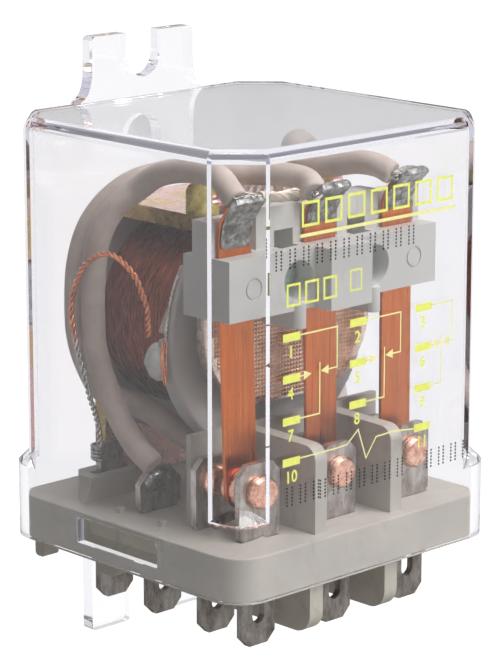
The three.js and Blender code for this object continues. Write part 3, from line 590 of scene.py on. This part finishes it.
def melt(name, look, lump=0.16):
    """Turns a CAD lump's facets into a soft uneven blob with modifiers."""
    piece = nodes[name]
    piece.data.materials.clear()
    piece.data.materials.append(LOOKS[look])
    remesh = piece.modifiers.new("remesh", "REMESH")
    remesh.mode = "VOXEL"
    remesh.voxel_size = LUMP_VOXEL * MM
    remesh.use_smooth_shade = True
    smooth = piece.modifiers.new("smooth", "SMOOTH")
    smooth.iterations = SMOOTHINGS
    texture = bpy.data.textures.new(name + "_lumps", "CLOUDS")
    texture.noise_scale = LUMP_GRAIN * MM
    texture.noise_depth = 2
    bulge = piece.modifiers.new("lumps", "DISPLACE")
    bulge.texture = texture
    bulge.texture_coords = "LOCAL"
    bulge.strength = lump * MM
    bulge.mid_level = LUMP_MIDDLE


for pole in POLES:
    melt(f"tail_solder_{pole}", "solder")
    melt(f"tab_solder_{pole}", "solder")
melt("lacquer_dab", "lacquer", lump=0.3)

# ---------- paths and strands ----------
SIDES_FINE = 5


def smooth_path(points, step=0.4):
    """A centripetal Catmull-Rom curve through given points, in millimetres."""
    knots = np.array(points, float)
    knots = np.vstack([2 * knots[0] - knots[1], knots, 2 * knots[-1] - knots[-2]])
    path = []
    for i in range(1, len(knots) - 2):
        p = knots[i - 1:i + 3]
        t = np.concatenate([[0], np.cumsum(np.linalg.norm(np.diff(p, axis=0), axis=1) ** 0.5)])
        count = max(2, round(np.linalg.norm(p[2] - p[1]) / step))
        for u in np.linspace(t[1], t[2], count, endpoint=False):
            a = [(p[k] * (t[k + 1] - u) + p[k + 1] * (u - t[k])) / (t[k + 1] - t[k]) for k in range(3)]
            b = [(a[k] * (t[k + 2] - u) + a[k + 1] * (u - t[k])) / (t[k + 2] - t[k]) for k in range(2)]
            path.append((b[0] * (t[2] - u) + b[1] * (u - t[1])) / (t[2] - t[1]))
    path.append(knots[-2])
    return np.array(path)


OBLIQUE = (0.31, 0.17, 0.93)


def frames_along(path):
    """Two directions across the path at each of its points, turning as little as they can."""
    tangents = np.gradient(path, axis=0)
    tangents /= np.linalg.norm(tangents, axis=1)[:, None]
    across = np.cross(tangents[0], OBLIQUE)
    side = []
    for tangent in tangents:
        across = across - tangent * across.dot(tangent)
        across = across / np.linalg.norm(across)
        side.append(across)
    side = np.array(side)
    return side, np.cross(tangents, side)


class Strands:
    """Round strands gathered into one mesh."""

    def __init__(self):
        self.points = []
        self.faces = []

    def add(self, path, radius, sides=SIDES_FINE):
        """A round strand along a path. radius is a number or one number for each point."""
        path = np.asarray(path, float)
        first = len(self.points)
        side, up = frames_along(path)
        radii = np.broadcast_to(radius, (len(path),))
        for centre, u, v, r in zip(path, side, up, radii):
            for k in range(sides):
                angle = 2 * math.pi * k / sides
                self.points.append(centre + r * (math.cos(angle) * u + math.sin(angle) * v))
        rings = len(path)
        for i in range(rings - 1):
            for k in range(sides):
                a = first + i * sides + k
                b = first + i * sides + (k + 1) % sides
                self.faces.append((a, b, b + sides, a + sides))
        self.faces.append(tuple(first + k for k in reversed(range(sides))))
        self.faces.append(tuple(first + (rings - 1) * sides + k for k in range(sides)))
        return self

    def piece(self, name, look):
        """The strands as one object."""
        mesh = bpy.data.meshes.new(name)
        mesh.from_pydata([tuple(p * MM) for p in self.points], [], self.faces)
        mesh.polygons.foreach_set("use_smooth", [len(f) == 4 for f in self.faces])
        mesh.materials.append(LOOKS[look])
        mesh.update()
        return add_object(name, mesh)


def twisted(path, offset, pitch, count, wander=0.0, seed=1):
    """The centre lines of strands wound round a path, some of them drawn in by up to the share wander."""
    chance = np.random.default_rng(seed)
    side, up = frames_along(path)
    slack = (-1, 0.2)
    run = np.concatenate([[0], np.cumsum(np.linalg.norm(np.diff(path, axis=0), axis=1))])
    lines = []
    for k in range(count):
        phase = 2 * math.pi * k / count
        reach = offset * (1 + wander * chance.uniform(*slack))
        angle = phase + 2 * math.pi * run / pitch
        lines.append(path + reach * (np.cos(angle)[:, None] * side + np.sin(angle)[:, None] * up))
    return lines


# ---------- flexible leads ----------
LEAD_RADIUS = 1.3
LEAD_UNEVEN = 0.03
LEAD_ENDS = 0.93
BARE_STRANDS = 26
BARE_STRAND_RADIUS = 0.1
LEAD_ROUTES = [
    [
        (-13.8, -12.3, 40.6), (-13.8, -11.4, 41.5), (-13.6, -10.0, 42.4), (-12.9, -7.6, 42.6),
        (-12.7, -5, 42.5), (-12.7, -2.2, 42), (-12.8, 0.2, 41.2), (-13.2, 2.4, 39.7), (-15, 4.2, 37.6),
        (-16, 5.4, 34.8), (-16.1, 6.2, 31.7), (-15.9, 6.8, 27.3), (-15.8, 6.9, 24.7), (-15.6, 6.9, 22.4),
        (-15.1, 6.6, 19.8), (-14.7, 5.9, 17.5), (-14.4, 4.1, 14.3), (-14, 2, 11.8), (-13.5, 0.1, 10.3),
    ],
    [
        (-2.7, -12.0, 39.8), (-2.2, -11.2, 40.3), (-1.8, -9.8, 40.8), (-2.5, -7.2, 41.1), (-3.5, -4.6, 41),
        (-5.5, -2, 41.1), (-7.4, 0.8, 41.2), (-8.8, 3.6, 40.6), (-11.2, 5.6, 39.7), (-13.3, 7.2, 37.8),
        (-14.9, 8.4, 35.1), (-15.7, 9.3, 31.2), (-15.8, 9.7, 27), (-15.6, 9.7, 23.1), (-14.3, 9.8, 19.6),
        (-12.5, 9.6, 16.6), (-10.4, 8.8, 15.2), (-9, 7.4, 14.5), (-8.1, 6, 13.7), (-6.8, 3.9, 12.1),
        (-5.5, 2.1, 10.7), (-4.6, 0.8, 9.8), (-3.6, 0.1, 9.4), (-2.4, -0.05, 9.4), (-1.2, -0.05, 9.9),
    ],
    [
        (8.7, -12.2, 40.4), (8.2, -10.8, 41.1), (7.7, -8.4, 41.3), (7, -6, 40.9), (6.5, -3.6, 40.3),
        (6.6, -1.2, 40.2), (8, 1.6, 40.7), (11.4, 3.8, 40.6), (14.6, 4.8, 38), (16.2, 5, 33.6),
        (16.6, 5, 28), (16.5, 4.6, 22), (15.8, 3.6, 15.6), (14.4, 1.4, 11.8), (13.2, 0.1, 10.3),
    ],
]


def flexible_lead(pole):
    """A sleeved lead, slightly uneven and drawn in at both ends."""
    path = smooth_path(LEAD_ROUTES[pole - 1], 0.35)
    swell = np.array([noise.noise(Vector(point) * 0.22) for point in path])
    radii = LEAD_RADIUS * (1 - LEAD_UNEVEN / 2 + LEAD_UNEVEN * swell)
    radii[0] *= LEAD_ENDS
    radii[-1] *= LEAD_ENDS
    lead = Strands().add(path, radii, 24).piece(f"lead_sleeve_{pole}", "sleeve")
    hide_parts(f"flex_lead_{pole}")
    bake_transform(lead)


def bare_ends(pole):
    """The lead's bare strands, laid along the top of the arm's tail in the solder."""
    route = np.array(LEAD_ROUTES[pole - 1][:2], float)
    out = (route[0] - route[1]) / np.linalg.norm(route[0] - route[1])
    low, high = corners(f"tail_solder_{pole}")
    chance = np.random.default_rng(20 + pole)
    strands = Strands()
    for _ in range(BARE_STRANDS):
        spread = chance.uniform(-0.6, 0.6, 3)
        start = route[0] - out * 0.4 + spread * 0.9
        lift = chance.uniform(0, 1)
        end = np.array([low[0] + (high[0] - low[0]) * chance.uniform(0.55, 1.0),
                        low[1] + 0.25 + 0.5 * lift, high[2] - 0.25 - 0.5 * lift])
        middle = (start + end) / 2 + np.array([0, -0.15, 0.15 + 0.25 * lift])
        near = start + out * 0.7
        near[1] = max(near[1], low[1] + 0.2)
        strands.add(smooth_path([start, near, middle, end], 0.3), BARE_STRAND_RADIUS)
    piece = strands.piece(f"lead_strands_{pole}", "strand")
    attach(piece, "armature_group")


for pole in POLES:
    flexible_lead(pole)
    bare_ends(pole)

# ---------- coil: winding, its wires, sleeve and knots ----------
AXIS_Z = 24.2
WINDING_RADIUS = 10.9
WINDING_FRONT, WINDING_BACK = (corners("winding")[k][1] for k in (0, 1))
TURN_RADIUS = 0.13
DRUM_RADIUS = WINDING_RADIUS - 2.2 * TURN_RADIUS
DRUM_BORE = 5.35
DRUM_SIDES = 64
DRUM_INSET = 0.1
STRAY_TURNS = 22
STRAY_RADIUS = 0.07


def ring(radius, angle, y):
    """Points round the coil's axis."""
    return np.stack([radius * np.sin(angle), y, AXIS_Z + radius * np.cos(angle)], axis=1)


def close_turns(strands, chance):
    """Single turns side by side, each swaying a little."""
    around = np.linspace(0, 2 * math.pi, 73)
    length = WINDING_BACK - WINDING_FRONT
    turns = int(length / (1.9 * TURN_RADIUS)) - 1
    for k in range(turns):
        y = WINDING_FRONT + TURN_RADIUS + k * (length - 2 * TURN_RADIUS) / (turns - 1)
        drift = chance.uniform(-0.5, 0.5)
        phase = chance.uniform(0, 2 * math.pi)
        sway = y + 0.14 * drift * np.sin(around * 2 + phase)
        radius = DRUM_RADIUS + TURN_RADIUS * (0.6 + 0.4 * chance.uniform(0, 1))
        strands.add(ring(radius, around, sway), TURN_RADIUS)


def stray_turns(strands, chance):
    """Parts of turns that lie askew over the others."""
    inset = 0.6
    for _ in range(STRAY_TURNS):
        start = chance.uniform(WINDING_FRONT + inset, WINDING_BACK - inset)
        end = np.clip(start + chance.uniform(-5, 5), WINDING_FRONT + 0.4, WINDING_BACK - 0.4)
        first = chance.uniform(0, 2 * math.pi)
        angle = first + np.linspace(0, chance.uniform(1.2, 3.6), 40)
        y = start + (end - start) * np.linspace(0, 1, 40) ** 1.3
        strands.add(ring(DRUM_RADIUS + TURN_RADIUS * 1.9, angle, y), STRAY_RADIUS, 4)


def drum(strands):
    """The closed tube under the turns."""
    front, back = WINDING_FRONT + DRUM_INSET, WINDING_BACK - DRUM_INSET
    profile = [(DRUM_BORE, front), (DRUM_RADIUS, front), (DRUM_RADIUS, back), (DRUM_BORE, back)]
    rim = len(profile)
    first = len(strands.points)
    for k in range(DRUM_SIDES):
        angle = 2 * math.pi * k / DRUM_SIDES
        for radius, y in profile:
            strands.points.append(np.array([radius * math.sin(angle), y, AXIS_Z + radius * math.cos(angle)]))
    for k in range(DRUM_SIDES):
        a = first + rim * k
        b = first + rim * ((k + 1) % DRUM_SIDES)
        for j in range(rim):
            strands.faces.append((a + j, a + (j + 1) % rim, b + (j + 1) % rim, b + j))


def winding_turns():
    """A smooth drum under single turns of fine wire, with a few stray turns laid across them."""
    chance = np.random.default_rng(7)
    strands = Strands()
    close_turns(strands, chance)
    stray_turns(strands, chance)
    drum(strands)
    coil = strands.piece("winding_turns", "winding")
    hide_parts("winding")
    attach(coil, "case")


winding_turns()

COIL_WIRE_A = [
    (-14.6, -0.6, 24.6), (-15.4, -1.4, 26.2), (-16, -1.9, 28), (-16.6, -1.8, 29.7), (-17.2, -1.5, 31.4),
    (-17.6, -0.5, 32.6), (-17.85, 1, 33.4), (-17.9, 2.6, 33.4), (-17.9, 4.1, 32.8), (-17.9, 5.8, 31.6),
    (-17.9, 7, 29.9), (-17.9, 7.8, 27.9), (-17.9, 8, 25.9), (-17.9, 7.6, 24.1), (-17.7, 7, 21.4),
    (-17.2, 6.7, 19), (-16.3, 7, 16.7), (-15.2, 7.6, 14.9), (-13.9, 8.4, 12.4), (-13.3, 9, 10.4),
]
COIL_WIRE_B = [
    (11.6, 9.4, 27.6), (13, 10.4, 26), (14, 10.9, 22), (14, 10.9, 17), (13.8, 10.2, 13), (13.3, 9, 10.4),
]
SLEEVE_ROUTE = [
    (-9.9, -0.9, 31.4), (-10.5, -0.9, 30.3), (-11, -0.9, 29.2), (-11.2, -0.9, 27.9), (-12.1, -0.9, 26.6),
    (-12.7, -0.9, 25.4), (-13, -0.9, 24.7),
]
LEAD_OUT_ROUTE = [
    (-12.7, -3.0, 31.2), (-13.45, -3.0, 29.5), (-14.05, -3.0, 27.5), (-14.4, -3.0, 25.5), (-14.5, -2.9, 24.0),
]
MAGNET_WIRE = 0.17
MAGNET_WIRE_OFFSET = 0.16
MAGNET_WIRE_PITCH = 1.7
SLEEVE_RADIUS = 0.45


def coil_wire(letter, route):
    """Two strands of magnet wire twisted together."""
    strands = Strands()
    for line in twisted(smooth_path(route, 0.16), MAGNET_WIRE_OFFSET, MAGNET_WIRE_PITCH, 2):
        strands.add(line, MAGNET_WIRE, 7)
    wire = strands.piece(f"twisted_wire_{letter}", "wire")
    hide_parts(f"coil_wire_{letter}")
    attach(wire, "case")


coil_wire("a", COIL_WIRE_A)
coil_wire("b", COIL_WIRE_B)


def wire_sleeve():
    """The sleeved start of the winding and the fine pair of wires beside it."""
    path = smooth_path(SLEEVE_ROUTE, 0.2)
    sleeve_tube = Strands().add(path, SLEEVE_RADIUS, 16).piece("wire_sleeve_tube", "sleeve")
    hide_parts("wire_sleeve")
    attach(sleeve_tube, "case")
    strands = Strands()
    for line in twisted(smooth_path(LEAD_OUT_ROUTE, 0.2), 0.1, 1.1, 2):
        strands.add(line, 0.11)
    lead_out = strands.piece("lead_out_wire", "strand")
    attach(lead_out, "case")


wire_sleeve()


LOOPS = 7
LOOP_RADIUS = 0.075


def knot_strands():
    """Short loops of magnet wire that leave the lacquered joint."""
    chance = np.random.default_rng(11)
    strands = Strands()
    for _ in range(LOOPS):
        out = chance.uniform(0, 0.3)
        y = -2.95 + chance.uniform(-0.4, 0.5)
        sway = chance.uniform(-0.35, 0.35)
        strands.add(smooth_path([
            (-14.5 - out, y, 24.4 + 0.5 * sway), (-14.65 - out, y - 0.2 * sway, 22.5),
            (-14.45 - out, y + 0.2 * sway, 20.8), (-14.0 - out, y + 0.3, 19.6 + sway)], 0.25), LOOP_RADIUS)
    knot = strands.piece("joint_strands", "wire_copper")
    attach(knot, "case")


knot_strands()


# Turns round the head of a coil terminal: their centre, half widths, number, rise and thickness.
KNOT_X, KNOT_Y, KNOT_TOP = 12.9, 9.77, 10.2
KNOT_HALF_X, KNOT_HALF_Y = 0.55, 0.75
KNOT_TURNS = 4
KNOT_STEP = 0.42
KNOT_WIRE = 0.24


def terminal_knot(side):
    """The coil wire's turns and solder round the head of its terminal."""
    strands = Strands()
    angle = np.linspace(0, 2 * math.pi, 17)
    for k in range(KNOT_TURNS):
        strands.add(np.stack([side * KNOT_X + KNOT_HALF_X * np.cos(angle), KNOT_Y + KNOT_HALF_Y * np.sin(angle),
                              KNOT_TOP - KNOT_STEP * k + 0.1 * np.sin(angle)], axis=1), KNOT_WIRE, 7)
    knot = strands.piece(f"coil_knot_{'a' if side < 0 else 'b'}", "solder")
    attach(knot, "case")


terminal_knot(-1)
terminal_knot(1)

# ---------- return spring and the braid's spare end ----------
SPRING_Z = 38.6
SPRING_RADIUS = 1.0
SPRING_WIRE = 0.2
SPRING_TURNS = 8
SPRING_COIL = (-3.6, 4.6)
SPRING_ENDS = (-4.45, 5.1)


def return_spring():
    """A coil spring that hangs from its two straight ends."""
    angle = np.linspace(0, 2 * math.pi * SPRING_TURNS, SPRING_TURNS * 18)
    coil = np.stack([SPRING_RADIUS * np.sin(angle), np.linspace(*SPRING_COIL, len(angle)),
                     SPRING_Z - SPRING_RADIUS * np.cos(angle)], axis=1)
    path = np.vstack([[[0, SPRING_ENDS[0], SPRING_Z]], coil, [[0, SPRING_ENDS[1], SPRING_Z]]])
    spring = Strands().add(path, SPRING_WIRE, 8).piece("spring_wire", "steel")
    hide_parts("return_spring")
    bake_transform(spring)


return_spring()


SPARE_BRAID = [
    (-10.9, -12.8, 40.6), (-9.4, -12.5, 40.3), (-8, -12.2, 40.1), (-6.4, -11.9, 40.05), (-4.9, -11.6, 40.1),
]
# Layers from the outside in: distance from the middle and number of strands.
BRAID_LAYERS = ((0.5, 16), (0.27, 9), (0.08, 3))
BRAID_PITCH = 6.5
BRAID_STRAND = 0.11
BRAID_SEED = 31


def spare_braid():
    """A cut-off end of bare braid, laid behind the middle of the carrier."""
    route = smooth_path(SPARE_BRAID, 0.3)
    strands = Strands()
    for layer, (offset, count) in enumerate(BRAID_LAYERS):
        for line in twisted(route, offset, BRAID_PITCH, count, 0.25, BRAID_SEED + layer):
            strands.add(line, BRAID_STRAND)
    braid = strands.piece("spare_braid", "braid")
    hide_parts("braid_end")
    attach(braid, "armature_group")


spare_braid()


# ---------- knurled face of the armature ----------
KNURL_PITCH = 0.44
KNURL_DEPTH = 0.09
KNURL_CORNER = 8.0
KNURL_MARGIN = 0.35
KNURL_TOP = 27.8
KNURL_UNEVEN = 0.08
KNURL_INTO_FACE = 0.005


def off_the_face(x, z, half, foot):
    """True where the rounded lower corners of the armature have no room for a pyramid."""
    over = (abs(x) - (half - KNURL_CORNER), (foot + KNURL_CORNER) - z)
    return min(over) > 0 and math.hypot(*over) > KNURL_CORNER - 0.3


def knurl():
    """Rows of small pyramids on the front of the armature, between the arms."""
    low, high = corners("armature")
    half = high[0] - KNURL_MARGIN
    foot = low[2] + KNURL_MARGIN
    y = low[1] - KNURL_INTO_FACE
    points = []
    faces = []
    for row in range(int((KNURL_TOP - foot) / KNURL_PITCH)):
        for column in range(int(2 * half / KNURL_PITCH)):
            x = -half + (column + 0.5) * KNURL_PITCH
            z = foot + (row + 0.5) * KNURL_PITCH
            if off_the_face(x, z, half, foot):
                continue
            first = len(points)
            tip = noise.noise(Vector((x * 3, z * 3, 1))) * KNURL_UNEVEN
            for dx, dz in ((-1, -1), (1, -1), (1, 1), (-1, 1)):
                points.append(((x + dx * KNURL_PITCH / 2) * MM, y * MM, (z + dz * KNURL_PITCH / 2) * MM))
            points.append(((x + tip) * MM, (y - KNURL_DEPTH) * MM, (z + tip) * MM))
            faces += [(first + k, first + (k + 1) % 4, first + 4) for k in range(4)]
    mesh = bpy.data.meshes.new("armature_knurl")
    mesh.from_pydata(points, [], faces)
    # Its copper-brown material is a painted reflection of the arms.
    mesh.materials.append(LOOKS["knurl"])
    piece = add_object("armature_knurl", mesh)
    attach(piece, "armature_group")


knurl()

# ---------- print on the front of the cover: plain numerals, bars and a contact diagram ----------
PRINT_COLUMNS = (-12.0, -2.4, 7.4)
PRINT_ROWS = (27.15, 22.85, 18.45, 14.15)
PRINT_OFF_WALL = 0.012
PRINT_STAGGER = 0.003
PRINT_FACE = cad_box[0][1] / MM - PRINT_OFF_WALL
PAD = (2.45, 0.85)
LINE = 0.16
NUMERAL_HEIGHT = 1.75
NUMERAL_SWELL = 0.035
NUMERAL_DROP = 1.6
# For each column, how far its connecting line and its moving arm stand from the pad's edge.
POSTS = (5.3, 5.1, 3.2)
ARMS = (2.8, 2.7, 1.6)
LEVER_DROP = 0.05
# The coil's symbol between the two lowest pads, as offsets in height from the line.
COIL_SYMBOL = [(-5.5, 0), (-3.9, 0.1), (-2.3, 1.4), (-1.1, -1.9), (0.4, 0.1), (3.0, 0.2)]
RULE = ((-10.7, 37.3), (11.9, 37.3), 0.36)
# Open rectangles: first corner, step along x, how many, width, height and thickness of the line.
RECTANGLES = [
    (-10.5, 38.3, 3.3, 7, 2.2, 2.3, 0.3),
    (-12.6, 30.4, 2.6, 3, 1.7, 2.1, 0.26),
    (-3.6, 30.6, 0, 1, 1.6, 2.1, 0.2),
]
# Columns of dots: first corner and how many pairs of columns.
DOT_BLOCKS = ((-14.2, 34.3, 11), (-12.6, 9.6, 3), (-7.8, 9.5, 7), (8.2, 9.5, 4))
DOT = (0.22, 0.22)
DOT_ROWS = 6
DOT_STEP = (0.7, 0.36)
DOT_BLOCK_STEP = 1.92


class Print:
    """Flat ink on the front wall, drawn with strips and outlines."""

    def __init__(self):
        self.points = []
        self.faces = []

    def strip(self, a, b, width=LINE):
        """A straight stroke with square ends."""
        a, b = np.array(a, float), np.array(b, float)
        along = (b - a) / np.linalg.norm(b - a) * width / 2
        across = np.array([-along[1], along[0]])
        self.polygon([a - along - across, b + along - across, b + along + across, a - along + across])

    def polygon(self, corners_xz):
        """A flat patch. Every other one lies a hair further out, so that overlaps don't share a plane."""
        first = len(self.points)
        y = (PRINT_FACE - PRINT_STAGGER * (len(self.faces) % 2)) * MM
        self.points += [(x * MM, y, z * MM) for x, z in corners_xz]
        self.faces.append(tuple(range(first, first + len(corners_xz))))

    def line(self, points, width=LINE):
        for a, b in zip(points, points[1:]):
            self.strip(a, b, width)

    def pad(self, x, z, size=PAD):
        self.polygon([(x - size[0] / 2, z - size[1] / 2), (x + size[0] / 2, z - size[1] / 2),
                      (x + size[0] / 2, z + size[1] / 2), (x - size[0] / 2, z + size[1] / 2)])

    def arrow(self, tip, way, size=1.1):
        x, z = tip
        self.polygon([(x, z), (x - way * size, z - size * 0.45), (x - way * size, z + size * 0.45)][::way])

    def frame(self, x, z, width, height, line):
        self.line([(x, z), (x + width, z), (x + width, z + height), (x, z + height), (x, z)], line)

    def piece(self, name, look):
        mesh = bpy.data.meshes.new(name)
        mesh.from_pydata(self.points, [], self.faces)
        mesh.materials.append(LOOKS[look])
        made = add_object(name, mesh)
        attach(made, "case")


def numeral(text, x, z):
    """A plain numeral from Blender's own font, made into flat faces."""
    curve = bpy.data.curves.new(f"numeral_{text}", "FONT")
    curve.body = text
    curve.size = NUMERAL_HEIGHT * MM
    curve.align_x = "CENTER"
    curve.align_y = "CENTER"
    curve.resolution_u = 3
    curve.offset = NUMERAL_SWELL * MM
    writer = add_object(f"writer_{text}", curve)
    bpy.context.view_layer.update()
    mesh = bpy.data.meshes.new_from_object(writer.evaluated_get(bpy.context.evaluated_depsgraph_get()))
    bpy.data.objects.remove(writer)
    mesh.transform(Matrix.Translation((x * MM, PRINT_FACE * MM, z * MM)) @ Matrix.Rotation(math.pi / 2, 4, "X"))
    mesh.materials.clear()
    mesh.materials.append(LOOKS["ink"])
    made = add_object(f"numeral_{text}", mesh)
    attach(made, "case")


def column_lines(fine, column):
    """The lines from a column's three pads to its moving arm, with their arrows."""
    edge = PRINT_COLUMNS[column] + PAD[0] / 2
    post = edge + POSTS[column]
    arm = edge + ARMS[column]
    top, middle, low = (PRINT_ROWS[k] + LEVER_DROP for k in range(3))
    lever = middle + LEVER_DROP
    fine.line([(edge, top), (post, top), (post, lever), (arm + 0.3, lever)])
    fine.arrow((arm + 0.15, lever), -1)
    fine.line([(arm, middle + 0.9), (arm, low), (edge, low)])
    fine.line([(edge, middle), (edge + 0.7, middle)])
    fine.arrow((edge + 1.6, middle), 1)


def contact_diagram():
    """Numbered pads joined by lines, as a relay's diagram shows its contacts and its coil, and open rectangles."""
    ink = Print()
    fine = Print()
    for row in range(3):
        for column in range(3):
            ink.pad(PRINT_COLUMNS[column], PRINT_ROWS[row])
    for row in range(3):
        for column in range(3):
            numeral(str(3 * row + column + 1), PRINT_COLUMNS[column] - 0.1, PRINT_ROWS[row] - NUMERAL_DROP)
    for text, column in (("10", 0), ("11", 2)):
        ink.pad(PRINT_COLUMNS[column], PRINT_ROWS[3])
        numeral(text, PRINT_COLUMNS[column], PRINT_ROWS[3] - NUMERAL_DROP - 0.05)
    for column in range(3):
        column_lines(fine, column)
    start, level = PRINT_COLUMNS[0] + PAD[0] / 2, PRINT_ROWS[3] + 0.15
    fine.line([(start, level), *((x, level + dz) for x, dz in COIL_SYMBOL),
               (PRINT_COLUMNS[2] - PAD[0] / 2, PRINT_ROWS[3])])
    fine.strip(*RULE)
    for x, z, step, count, width, height, line in RECTANGLES:
        for k in range(count):
            ink.frame(x + step * k, z, width, height, line)
    ink.piece("print_pads", "ink")
    fine.piece("print_lines", "ink_pale")


def dotted_code():
    """Rows of small black dots, grouped in plain blocks, where the date code would be."""
    dots = Print()
    for block_x, block_z, blocks in DOT_BLOCKS:
        for block in range(blocks):
            for column in range(2):
                for row in range(DOT_ROWS):
                    x = block_x + block * DOT_BLOCK_STEP + column * DOT_STEP[0]
                    dots.pad(x, block_z + row * DOT_STEP[1], DOT)
    dots.piece("print_dots", "ink_black")


contact_diagram()
dotted_code()

# ---------- floor ----------
FLOOR_Z = -0.03
FLOOR_REACH = 6.0
FLOOR_GLOW = 0.97
FLOOR_GREYS = (0.09, 0.11)
FLOOR_IN_REFLECTIONS = 0.32


def floor_look():
    """Near-white where it is seen, and darker in reflections and in the light it gives back."""
    look = Look("floor", (0.1, 0.1, 0.1), 0.8, emission_color=(1, 1, 1, 1), emission_strength=FLOOR_GLOW)
    look.paint(look.ramp(look.noise(30), list(zip(NOISE_RANGE, FLOOR_GREYS))))
    path = look.make("ShaderNodeLightPath").outputs
    dark = look.make("ShaderNodeBsdfDiffuse")
    dark.inputs["Color"].default_value = (*(FLOOR_IN_REFLECTIONS,) * 3, 1)
    mirrored = look.calc("SUBTRACT", path["Is Glossy Ray"], path["Is Transmission Ray"], clamp=True)
    early = look.calc("LESS_THAN", path["Ray Depth"], BOUNCES_IN_WALL + 0.5)
    unseen = look.calc("MAXIMUM", look.calc("MULTIPLY", mirrored, early), path["Is Diffuse Ray"])
    look.choose(unseen, look.shader, dark)
    return look.material


def floor():
    """A plain level square, below the longest tongue of the flange."""
    mesh = bpy.data.meshes.new("floor")
    square = [(-1, -1), (1, -1), (1, 1), (-1, 1)]
    mesh.from_pydata([(x * FLOOR_REACH, y * FLOOR_REACH, FLOOR_Z) for x, y in square], [], [(0, 1, 2, 3)])
    mesh.materials.append(floor_look())
    plane = add_object("floor", mesh)


floor()
